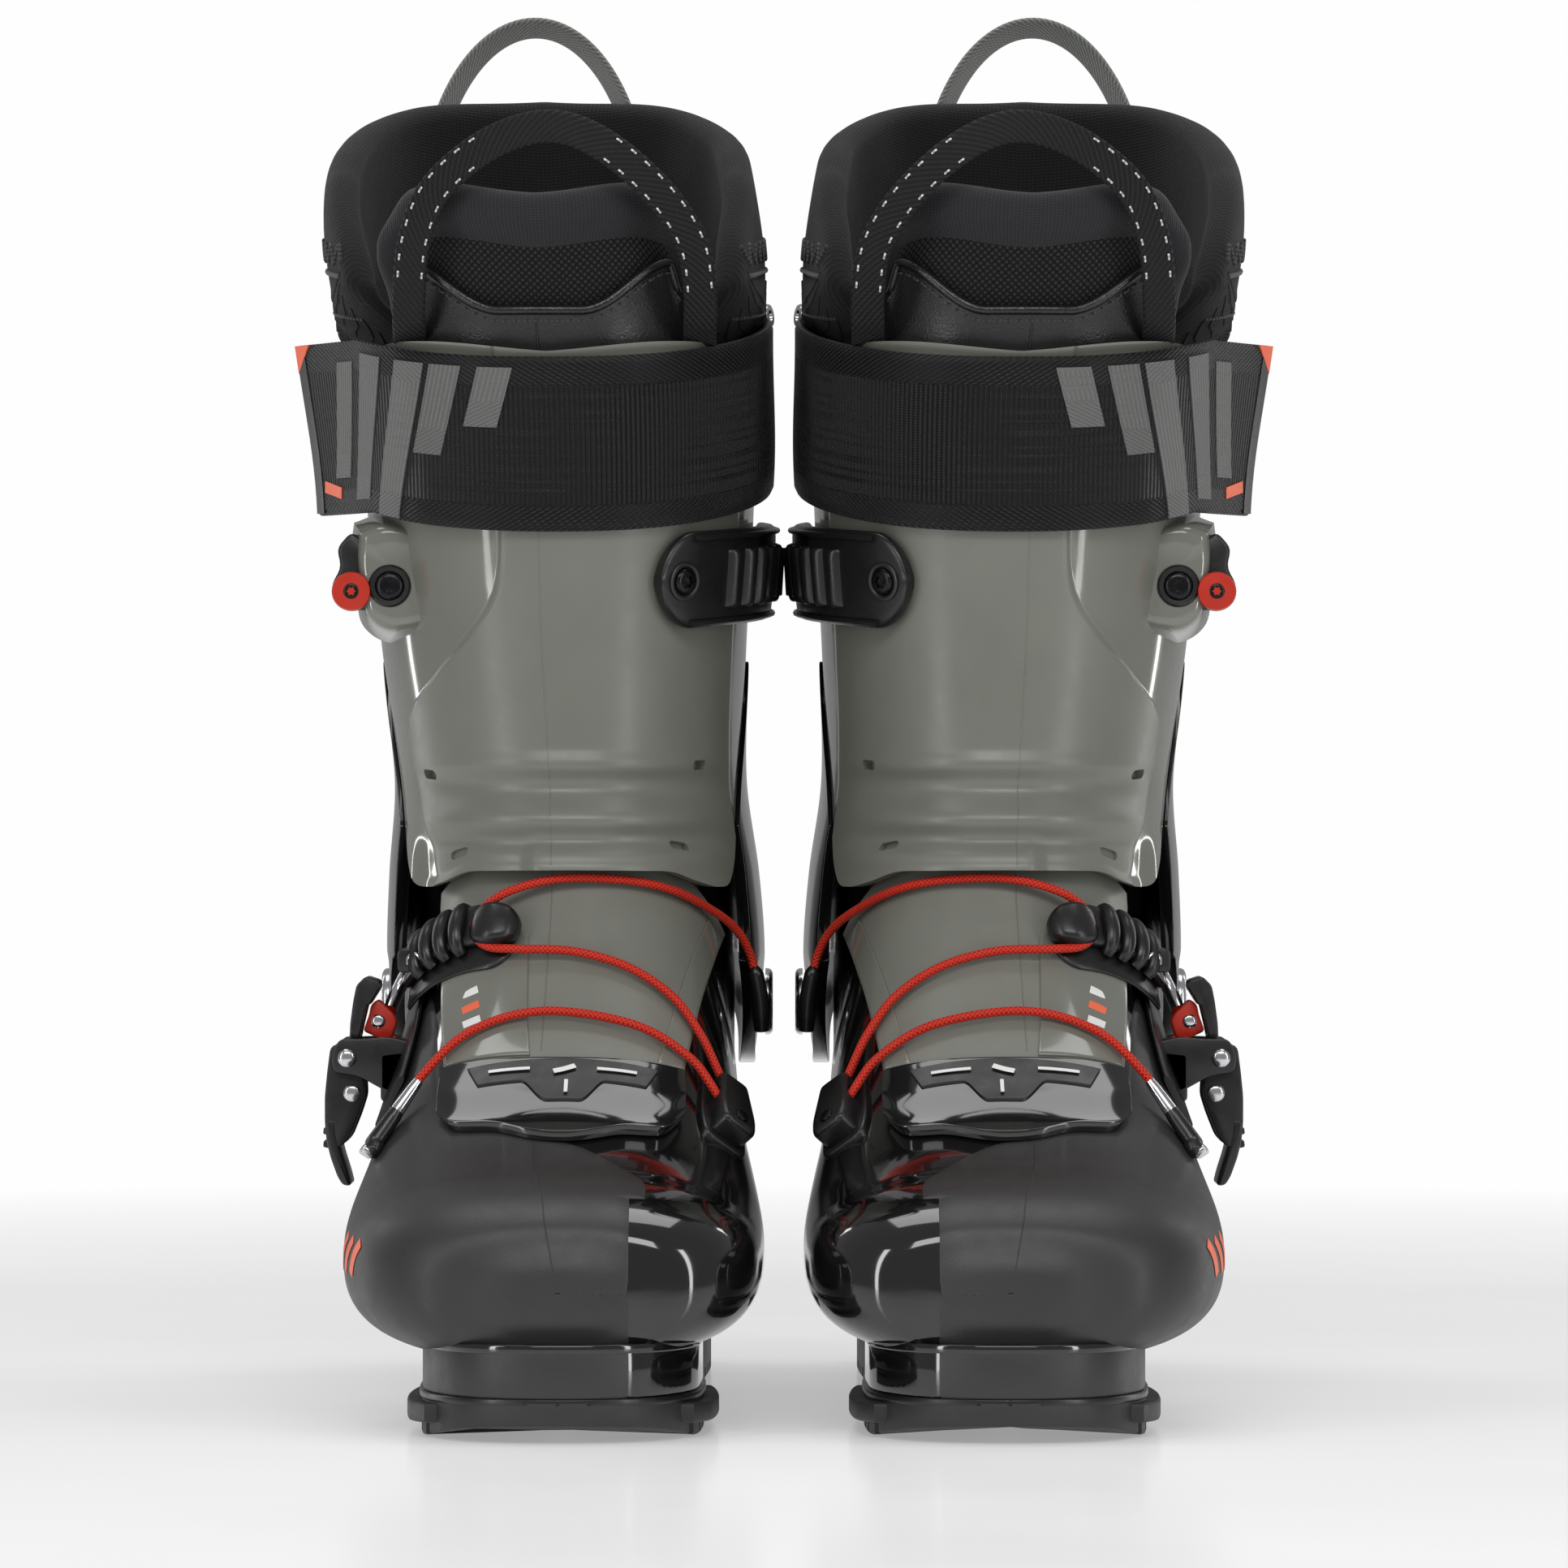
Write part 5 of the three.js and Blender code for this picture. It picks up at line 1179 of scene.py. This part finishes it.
put("adjuster_nut", joined(profile(BAIL, nut, -4.5, 4.5, 1.0, 0.6),
                           profile(BAIL, [(7.4, 12.4), (10, 12.0), (11.6, 14.2), (9.4, 15.8)],
                                                                         -3.2, 3.2, 0.6)), "bail", RED,
                                                                         "adjuster_nut")
put("adjuster_pin", cross_pin(BAIL + (6.6, 0, 18.6), 1.4, 4.6, 0.5), "bail", STEEL)

STRAP_LIFT = 3.6


def on_strap(t, lift):
    return on_foot(mix(9.0, 8.6, t), mix(-51.0, -12.0, t), lift)


hook, ahead = on_strap(np.array([0.0, 0.02]), np.array([6.1, 6.1]))
ahead = unit(ahead - hook)
rod_start, rod_end = BAIL + (9.4, 0, 21.4), hook - ahead * 0.3
t = np.linspace(0, 1, 24)[:, None]
rod = (1 - t) ** 2 * rod_start + 2 * t * (1 - t) * (rod_end - ahead * 7.5) + t * t * rod_end
put("bail_rod", joined(rope(rod, 1.9, 16), rope(np.stack([rod_end + (0, -5.5, 0.4), rod_end + (0, 5.5, 0.4)]),
                                                1.5, 12)), "bail", STEEL, "bail_rod")

# ---------------------------------------------------------------- ribbed strap, cable and guide
t = np.linspace(-0.02, 1.02, 90)
at = on_strap(t, np.full(90, STRAP_LIFT))
out = unit(on_strap(t, np.full(90, STRAP_LIFT + 1)) - at)
across = unit(np.cross(unit(np.gradient(at, axis=0)), out))
width = 16.8 * np.clip(np.sqrt(np.clip(1 - (np.clip(t - 0.82, 0, 1) / 0.21) ** 2, 0.05, 1)), 0.3, 1)
down = np.sign(across @ np.array([0, -1, -0.6]))[:, None]
flange = ribbon(at + across * down * 5.2, across, out, width + 0.4, 1.5, columns=14)
core = ribbon(at + out * 1.3 + across * down * 1.0, across, out, width * 0.72, 2.6 + 0.6 * np.sin(np.pi * t),
              columns=14)
put("instep_strap", joined(flange, core), "shell", BLACK, "instep_strap")
ridges = []
for k in np.linspace(0.2, 0.62, 4):
    i = int(np.interp(k, t, np.arange(90)))
    w = np.linspace(-1, 1, 22)
    arc = at[i] + across[i] * (down[i] * 1.4 + w[:, None] * 6.7) + out[i] * (2.0 + 3.2
                                                                             * np.sqrt(np.clip(1 - w ** 2, 0,
                                                                                               1)))[:, None]
    ridges.append(rope(arc, 2.35 * (0.7 + 0.3 * np.sqrt(np.clip(1 - w ** 2, 0, 1))), 16))
put("instep_strap_ridges", joined(*ridges), "shell", BLACK)
cap_at = np.linspace(0.7, 1.06, 40)
c_at = on_strap(cap_at, np.full(40, STRAP_LIFT + 1.4))
c_out = unit(on_strap(cap_at, np.full(40, STRAP_LIFT + 2.4)) - c_at)
swell = np.sqrt(np.clip(1 - ((cap_at - 0.88) / 0.185) ** 2, 0.02, 1))
c_across = unit(np.cross(unit(np.gradient(c_at, axis=0)), c_out))
c_down = np.sign(c_across @ np.array([0, -1, -0.6]))[:, None]
put("instep_strap_cap", ribbon(c_at + c_across * c_down * 2.6, c_across, c_out, 12.4 * swell, 5.4 * swell
                               + 0.6, crown=0.5, columns=18), "shell", BLACK)
clevis = on_strap(0.06, 6.2) + np.array([0, -8.2, 0])
screw("clevis_rivet", "shell", clevis, (-0.2, -0.97, 0.1), 2.3, 1.1, STEEL, drive=False)
put("clevis_plate",
    joined(*[prism(rounded([(-4.4, -3.4), (5.6, -2.6), (5.6, 3.4), (-4.4, 3)],
                           1.6) + np.array([clevis[0], clevis[2]]),
                                   clevis[1] + a, clevis[1] + a + 1.6, "xz", edge=0.4) for a in (0.2, 14.6)]),
                                   "shell", BLACK)

CABLE = [
    (5.77, -56, 2.6), (6.29, -36.4, 4.8), (6.78, -21.3, 5), (6.96, -3, 5), (6.82, 16, 5), (6.55, 33, 5),
    (6.2, 42.5, 4.6),
    (5.95, 48, 4.2), (6, 50.6, 4.2), (6.25, 49.6, 4.4), (6.65, 44.6, 4.6), (7.11, 37.4, 5), (7.52, 27.5, 5),
    (7.8, 13.9, 5),
    (7.98, 1, 5.2), (8.02, -10, 6.2), (8.12, -18, 7.2), (8.4, -22, 7.6), (8.76, -21.5, 7.8),
    (9.1, -14.5, 7.4), (9.36, -2, 6), (9.46, 12, 5),
    (9.62, 28, 5), (9.95, 46, 5.6), (10.05, 55, 7.6), (9.9, 60.5, 8.8), (9.65, 64, 9.2),
]
cable_points = np.array([on_foot(a, b, np.array(c)) for a, b, c in CABLE])
cable = spline(cable_points, 420)
put("instep_cable", rope(cable, 1.15, 16), "shell", RED_CORD, "instep_cable",
    bend=("cuff", (0, -40, 127), (0, -40, 139)))
end = np.array([on_foot(5.6, -60.5, np.array(2.0)), on_foot(5.72, -57, np.array(2.4)), cable_points[0],
                cable_points[1]])
sleeve = spline(end, 60)
put("cable_anchor", rope(sleeve[:38], np.interp(np.arange(38), [0, 3, 30, 37], [1.2, 2.6, 2.1, 1.7]), 18),
    "shell", BLACK)
put("cable_ferrule", rope(sleeve[34:56], np.interp(np.arange(22), [0, 2, 16, 21], [1.9, 1.9, 1.6, 1.35]), 18),
    "shell", STEEL)
screw("cable_anchor_pin", "shell", on_foot(5.62, -60, np.array(4.2)), foot_out(5.62, -60), 1.5, 0.7, STEEL,
      drive=False)
last = cable_points[-1]
drop = spline(np.array([last + (-0.4, 0.2, 1.2), last, last + (1.2, 1.5, -7), last + (1.6, 3.4, -15)]), 40)
put("cable_end_sleeve", rope(drop, np.interp(np.arange(40), [0, 3, 30, 39], [1.5, 2.1, 2.4, 2.0]), 18),
    "shell", BLACK, bend=("cuff", (0, -40, 127), (0, -40, 139)))

guide_at = foot(6.1, 50)
guide_z = foot_out(6.1, 50)
guide_x = unit(foot(6.5, 50) - foot(5.7, 50))
guide_y = unit(np.cross(guide_z, guide_x))
guide_x = np.cross(guide_y, guide_z)
plan = rounded([(-10.5, -5.2), (-4, -6), (10.5, -4.6), (10.5, 4.6), (-4, 6), (-10.5, 5.2)], 2.2)
put("cable_guide", moved(prism(plan, -1.5, 7.4, edge=1.6, steps=5), guide_at, guide_x, guide_y, guide_z),
    "shell", BLACK, "cable_guide", cut=rope(cable[60:190], 1.9, 12))
put("cable_guide_foot", moved(prism(plan * (1.22, 1.3), -2.5, 1.2, edge=0.8), guide_at, guide_x, guide_y,
                              guide_z), "shell", BLACK)
screw("cable_guide_rivet", "shell", guide_at + guide_z * 7.4 - guide_x * 6.4, guide_z, 2.0, 0.7, DARK_STEEL,
      drive=False)

# ---------------------------------------------------------------- spoiler and rear lever
def spoiler_relief(angle, z):
    a = facing(angle)
    hem = 0.5 * smooth(2.6, 0.8, spoiler_high(angle) - z) + 0.4 * smooth(2.4, 0.8, z - spoiler_low(angle))
    panel = -0.9 * smooth(136, 140, a) * smooth(176, 184, z) * smooth(8, 14, spoiler_high(angle) - z)
    rib = 0.9 * bump(128, 1.8, a) * smooth(160, 190, z)
    return SPOILER_OUT + hem + panel + rib


put("rear_spoiler", leg_patch(94, 266, spoiler_low, spoiler_high, spoiler_relief, SPOILER_OUT - SPOILER_WALL,
                              240, 90), "spoiler", GLOSS, "rear_spoiler", bevel=0.6)
put("spoiler_panel", leg_patch(143, 217, lambda a: 188 + 0 * a, lambda a: spoiler_high(a) - 17,
                               SPOILER_OUT + 0.1, SPOILER_OUT - 1.5, 90, 60), "spoiler", MATTE,
                               bevel=0.5)
PIVOT = np.array([0, 130.51, 137.0])


def across_back(at, outline, start, end, radius=1.5, edge=0.5):
    return prism(rounded(outline, radius) + np.array([at[1], at[2]]), at[0] + start, at[0] + end, "yz",
                 edge=edge)


def barrel(radius, start, end):
    a = np.linspace(0, 2 * np.pi, 40, endpoint=False)
    return prism(np.stack([radius * np.cos(a) + PIVOT[1], radius * np.sin(a) + PIVOT[2]], 1), start, end,
                 "yz", edge=0.5)


web = [(-5.2, -4), (-5.2, -12), (-1.6, -12), (3.6, -2), (0, 3)]
put("hinge_middle", joined(barrel(4.5, -13.9, 13.9), across_back(PIVOT, web, -13.9, 13.9)), "cuff", BLACK)
put("hinge_pin", joined(barrel(2.6, -22.2, -21), barrel(2.6, 21, 22.2)), "cuff", STEEL)
knuckle = [(-3, -2.4), (3.4, 2), (-4, 9), (-15.7, 16), (-15.7, 6)]
put("hinge_sides", joined(*[part for low, high in ((14.4, 21), (-21, -14.4)) for part in
                            (barrel(4.5, low, high), across_back(PIVOT, knuckle, low, high))]), "spoiler",
                            BLACK)
REAR = leg(180, 206) + (0, SPOILER_OUT + 7, 0)
ear = [(-14.6, -7), (-14.6, 9), (-6, 7.5), (0, 4.5), (3.6, 1), (3, -3.4), (-2, -6)]
put("rear_ears", joined(across_back(REAR, ear, 20.4, 23.4), across_back(REAR, ear, -23.4, -20.4)), "spoiler",
    BLACK)
lever = [(-2.8, -3.2), (0, -4), (2.8, -3.2), (3.6, 2), (1.2, 18), (-3.4, 35), (-6.6, 46), (-5, 53),
         (-6, 54.4), (-8.2, 54), (-10.4, 49), (-11.5, 44), (-8, 22), (-2.8, 2)]
grip = [across_back(REAR, [(-6.2 + d, 42 - 3.4 * i), (-3.9 + d, 42 - 3.4 * i), (-3.6 + d, 43.6 - 3.4 * i),
                           (-6 + d, 43.6 - 3.4 * i)],
                    -13, 13, 0.5, 0.3) for i, d in enumerate((0.3, 1.3, 2.2, 3.1))]
put("rear_lever", joined(across_back(REAR, lever, -20, 20, 2.0, 1.0), *grip), "rear_lever", BLACK,
    "rear_lever")
pin = moved(lathe([(0.01, -24.4), (1.7, -24.4), (2.5, -24), (2.5, -23.4), (2, -23.4), (2, 23.4), (2.5, 23.4),
                   (2.5, 24), (1.7, 24.4), (0.01, 24.4)], 28), REAR, *basis((1, 0, 0)))
put("rear_lever_pin", pin, "rear_lever", STEEL)


def rear_strap():
    angle = np.linspace(104, 256, 200)[None]
    v = np.linspace(-22.5, 22.5, 26)[:, None]
    a = facing(angle)
    z = 251 + 13 * (1 - np.cos(np.radians(a))) + v
    lift = np.interp(a, [104, 118, 180], [-1.6, -5.7, -5.7]) + 0 * v
    return wall(leg(angle, z, lift + 2.4), leg(angle, z, lift))


put("rear_strap", rear_strap(), "spoiler", STRAP, bevel=0.5)


# ---------------------------------------------------------------- liner
COLLAR_OUT = SPOILER_OUT - SPOILER_WALL - 1.5


def sweep(angles, section):
    """A padded wall whose section (offset from the cuff, height) is drawn at each angle round the leg."""
    rings = []
    for a in angles:
        offset, z = section(float(a))
        rings.append(leg(a, z, offset))
    return tube(np.array(rings)[:, ::-1])


def pad_section(z_low, z_high, out, thick, rows=44, top=12):
    """Up the outside, round the top and down the inside. out(z) is the outer face's offset."""
    r = thick / 2
    up = np.linspace(z_low, z_high - r, rows)
    turn = np.linspace(0, np.pi, top)[1:-1]
    edge = out(np.array([z_high - r]))[0]
    return (np.concatenate([out(up), edge - r + r * np.cos(turn), out(up[::-1]) - thick]),
            np.concatenate([up, z_high - r + r * np.sin(turn), up[::-1]]))


def rim_height(angle):
    a = facing(angle)
    return np.where(a < 86, cuff_high(a), spoiler_high(a)) + 4


def collar_face(angle):
    def out(z):
        rim = rim_height(angle)
        puff = 1.5 * np.sin(np.pi * np.clip((z - rim - 4) / np.maximum(collar_high(angle) - rim - 4, 6), 0,
                                            1)) ** 0.8
        sag = 0.45 * np.sin(angle / 9.0) * np.sin(z / 7.0 + angle / 17.0)
        return COLLAR_OUT * (1 - smooth(rim, rim + 18, z)) + (puff + sag) * smooth(rim, rim + 12, z)
    return out


def collar_section(angle):
    end = min(angle - 60, 300 - angle)
    thick = 9.5 * math.sqrt(max(0.03, 1 - (1 - min(end / 6, 1)) ** 2))
    high = float(collar_high(angle)) - 2.5 * (1 - min(end / 9, 1)) ** 2
    face = collar_face(angle)
    return pad_section(float(collar_low(angle)), high, lambda z: face(z) - (9.5 - thick) * 0.5, thick,
                       rows=70)


SEAM_Z = 302.0
angles = np.concatenate([np.linspace(60, 68, 12), np.linspace(68, 292, 180)[1:-1], np.linspace(292, 300, 12)])
put("liner_collar", sweep(angles, collar_section), "spoiler", KNIT, "liner_collar")


def on_collar(angle, z, lift):
    return np.array([leg(a, h, collar_face(float(a))(np.array([h]))[0] + lift) for a, h in zip(angle, z)])


def dashes(points, out, length, gap, radius):
    """Stitches along a line: short threads that dip into the cloth at both ends."""
    s = np.concatenate([[0], np.linalg.norm(np.diff(points, axis=0), axis=1).cumsum()])
    made = []
    for start in np.arange(1.0, s[-1] - length, length + gap):
        t = np.linspace(start, start + length, 7)
        p = np.stack([np.interp(t, s, points[:, k]) for k in range(3)], 1)
        o = np.stack([np.interp(t, s, out[:, k]) for k in range(3)], 1)
        made.append(rope(p + o * (np.sin(np.linspace(0, np.pi, 7)) * radius * 1.3 - radius * 0.4)[:, None],
                         radius, 8))
    return joined(*made)


for side, start, end in (("medial", 66, 112), ("lateral", 248, 294)):
    a = np.linspace(start, end, 95)
    rise = 0.16 * np.abs(a - (end if side == "lateral" else start))
    zig = SEAM_Z + 2.6 * (2 * np.abs((np.arange(95) / 5) % 2 - 1) - 1) + rise
    p = on_collar(a, zig, 0.25)
    put(f"collar_zigzag_{side}", rope(p, 0.5, 8), "spoiler", STITCH)
    for row, radius in enumerate((0.7, 0.45)):
        z = SEAM_Z - 5.5 - 11 * row + rise
        put(f"collar_seam_{side}_{row}", rope(on_collar(a, z, 0.1), radius, 8), "spoiler", STITCH)


def gusset(start, end, count):
    """Fan-shaped rows of fine stitching on the stretch cloth beside the tongue."""
    threads = []
    for i in range(count):
        a = np.linspace(start, end, 30)
        u = np.linspace(0, 1, 30)
        z = SEAM_Z - 5 - 3.1 * i - 6.0 * np.sin(np.pi * u) ** 0.8 + 0.8 * np.abs((u * 6) % 2 - 1)
        threads.append(rope(on_collar(a, z, 0.12), 0.24, 6))
    return joined(*threads)


put("collar_gusset_medial", gusset(66, 92, 8), "spoiler", GUSSET)
put("collar_gusset_lateral", gusset(268, 294, 8), "spoiler", GUSSET)


def tongue_face(angle):
    def out(z):
        top = float(tongue_high(angle))
        roll = 2.4 * bump(top - 6.5, 6.5, z)
        dip = 2.8 * smooth(top - 8, top - 14, z) * smooth(262, 270, z) * smooth(44, 38, abs(angle))
        border = 1.6 * bump(47, 4.0, abs(angle)) * smooth(262, 282, z)
        return -4.8 + roll * smooth(279, 300, z) - dip + border
    return out


def tongue_section(angle):
    end = 51 - abs(angle)
    thick = 10.5 * math.sqrt(max(0.04, 1 - (1 - min(end / 6, 1)) ** 2))
    face = tongue_face(angle)
    return pad_section(179.0, float(tongue_high(angle)), lambda z: face(z) - (10.5 - thick) * 0.5, thick,
                       rows=80)


angles = np.concatenate([np.linspace(-51, -44, 14), np.linspace(-44, 44, 120)[1:-1], np.linspace(44, 51, 14)])
put("liner_tongue", sweep(angles, tongue_section), "cuff", TONGUE_KNIT, "liner_tongue")


def panel_top(angle):
    beside = np.abs(np.asarray(angle) + 1)
    return 286 + 13.0 * smooth(9, 38, beside) - 7 * smooth(37.5, 41, beside)



def tongue_patch(low, high, start, end, outer, inner, columns=110, rows=40):
    v, u = np.meshgrid(np.linspace(0, 1, rows), np.linspace(0, 1, columns), indexing="ij")
    angle = mix(start, end, u)
    z = mix(low(angle), high(angle), v)
    return wall(leg(angle, z, outer(angle, z)), leg(angle, z, inner(angle, z)))


put("tongue_mesh", tongue_patch(lambda a: 272 + 0 * a, lambda a: tongue_high(a) - 8.5 - 1.8
                                * smooth(22, 40, np.abs(a)), -40.5, 40.5,
                                lambda a, z: -6.7 - 0.5 * bump(tongue_high(a) - 10, 5, z), lambda a, z: -9.0
                                + 0 * z), "cuff", MESH, bevel=0.5)
put("tongue_panel", tongue_patch(lambda a: 256 + 0 * a, panel_top, -41.5, 41.5,
                                 lambda a, z: -4.5 - 0.9 * smooth(258, 250, z) + 0.5
                                 * bump(panel_top(a), 5, z),
                                 lambda a, z: -7.4 + 0 * z), "cuff", LEATHER, bevel=0.5)
a = np.linspace(-41, 41, 150)
edge = leg(a, panel_top(a) - 0.2, -4.1 + 0 * a)
put("tongue_piping", rope(edge, 1.35, 14), "cuff", LEATHER)
put("tongue_stitches", dashes(leg(a, panel_top(a) - 3.0, -4.2 + 0 * a), leg_out(a, panel_top(a) - 3.0), 1.7,
                              1.1, 0.32), "cuff", STITCH)
put("tongue_seam", rope(leg(-1.5 + 0 * a[:40], np.linspace(262, 284, 40), -4.25 + 0 * a[:40]), 0.3, 8),
    "cuff", LEATHER)


def liner_foot():
    ring = np.linspace(1, 14, 90)[:, None]
    angle = np.linspace(0, 360, 96, endpoint=False)[None]
    outer, inner = foot(ring, angle, -4.8, -13.1), foot(np.maximum(ring, 2), angle, -10.8, -19)
    blend = np.clip((ring[..., None] - 9.5) / 1.5, 0, 1)
    outer = mix(outer, foot(ring, angle, -4.8), blend)
    inner = mix(inner, foot(ring, angle, -10.8), blend)
    close = np.clip((ring[..., None] - 0.9) / 1.3, 0.02, 1)
    for grid in (outer, inner):
        centre = grid.mean(1, keepdims=True)
        grid[:] = centre + (grid - centre) * np.sqrt(close)
    return wall(outer, inner, wrap=True)


put("liner_foot", liner_foot(), "shell", INNER, "liner_foot")

# ---------------------------------------------------------------- pull loops
MIDLINE = [(-41.6, 276), (-41.2, 290), (-39.4, 304), (-33.4, 317), (-19.5, 328), (-4.3, 332.3), (9.4, 327.6),
           (23.2, 316), (31.8, 303.5), (34.2, 291), (34.0, 276)]
flat = spline([(x, 0, z) for x, z in MIDLINE], 120)
share = np.linspace(0, 1, 120)
feet = leg(-45.5, 282, -1.6)[1], leg(46.5, 282, -1.6)[1]
lean = np.sin(np.pi * share) ** 0.55
flat[:, 1] = mix(mix(feet[0], feet[1], share), -63.5, lean)
flat[:, 1] += 7.5 * smooth(283, 276, flat[:, 2])
ahead = unit(np.gradient(flat, axis=0))
FORWARD = np.array([0, -1.0, 0.12])
out = unit(FORWARD - ahead * (ahead @ FORWARD)[:, None])
radial = np.cross(out, ahead)
put("tongue_loop", ribbon(flat, radial, out, 8.6, 1.5, columns=16), "cuff", TAPE, "tongue_loop")
for name, sign in (("inner", -1), ("outer", 1)):
    put(f"tongue_loop_stitches_{name}", joined(*[dashes((flat + radial * 3.1 * sign + out * 1.55)[span],
                                                        out[span], 1.5, 3.2, 0.28)
                                                 for span in (slice(14, 46), slice(72, 108))]), "cuff",
                                                 STITCH_LIGHT)
turn = np.linspace(np.pi, 0, 100)
back = float(leg(180, 318)[1]) + 1.5
across_x = -12.8 + 29.3 * np.cos(turn)
round_back = np.linspace(140, 220, 161)
hugging = on_collar(round_back, np.full(161, 312.0), 5.2)
order = np.argsort(hugging[:, 0])
seat_y = np.interp(across_x, hugging[order, 0], hugging[order, 1])
arch = np.stack([across_x, mix(seat_y, back + 2.0, np.sin(turn) ** 0.7), 318 + 53.6 * np.sin(turn)], 1)
foot_in = np.stack([np.zeros(12), -2.5 * np.linspace(1, 0, 12) ** 1.5, np.linspace(-15, -1, 12)], 1)
arch = np.concatenate([arch[:1] + foot_in, arch, arch[-1:] + foot_in[::-1]])
turn = np.concatenate([np.full(12, np.pi), turn, np.zeros(12)])
radial = unit(np.stack([np.cos(turn) * 54, 0 * turn, np.sin(turn) * 30], 1))
tilt = unit(np.array([0, 1.0, 0])[None] * 0.93 - radial * 0.36)
put("rear_loop", ribbon(arch, tilt, unit(np.cross(unit(np.gradient(arch, axis=0)), tilt)), 11.5, 1.6,
                        columns=16), "spoiler", GREY_TAPE, "rear_loop")

for side in SIDES:
    bpy.data.objects[f"{side}_boot_board"].data.materials[0] = RUBBER


# ---------------------------------------------------------------- floor
def floor():
    t = Tree("studio_floor")
    away = t.nodes.new("ShaderNodeVectorMath")
    away.operation = "LENGTH"
    t.links.new(t.where, away.inputs[0])
    t.set("Base Color", (0.84, 0.84, 0.84, 1)).set("Roughness", t.span(t.noise(6, 2), 0.3, 0.7, 0.16, 0.2))
    t.set("Specular IOR Level", 0.12).set("Emission Color", (1, 1, 1, 1)).set("Emission Strength", 0.3)
    t.set("Alpha", t.span(away.outputs["Value"], 0.5, 1.15, 1.0, 0.0))
    mesh = bpy.data.meshes.new("floor")
    mesh.from_pydata([(-1.2, -1.2, 0), (1.2, -1.2, 0), (1.2, 1.2, 0), (-1.2, 1.2, 0)], [], [(0, 1, 2, 3)])
    mesh.materials.append(t.material)
    ground = bpy.data.objects.new("floor", mesh)
    bpy.context.scene.collection.objects.link(ground)


floor()
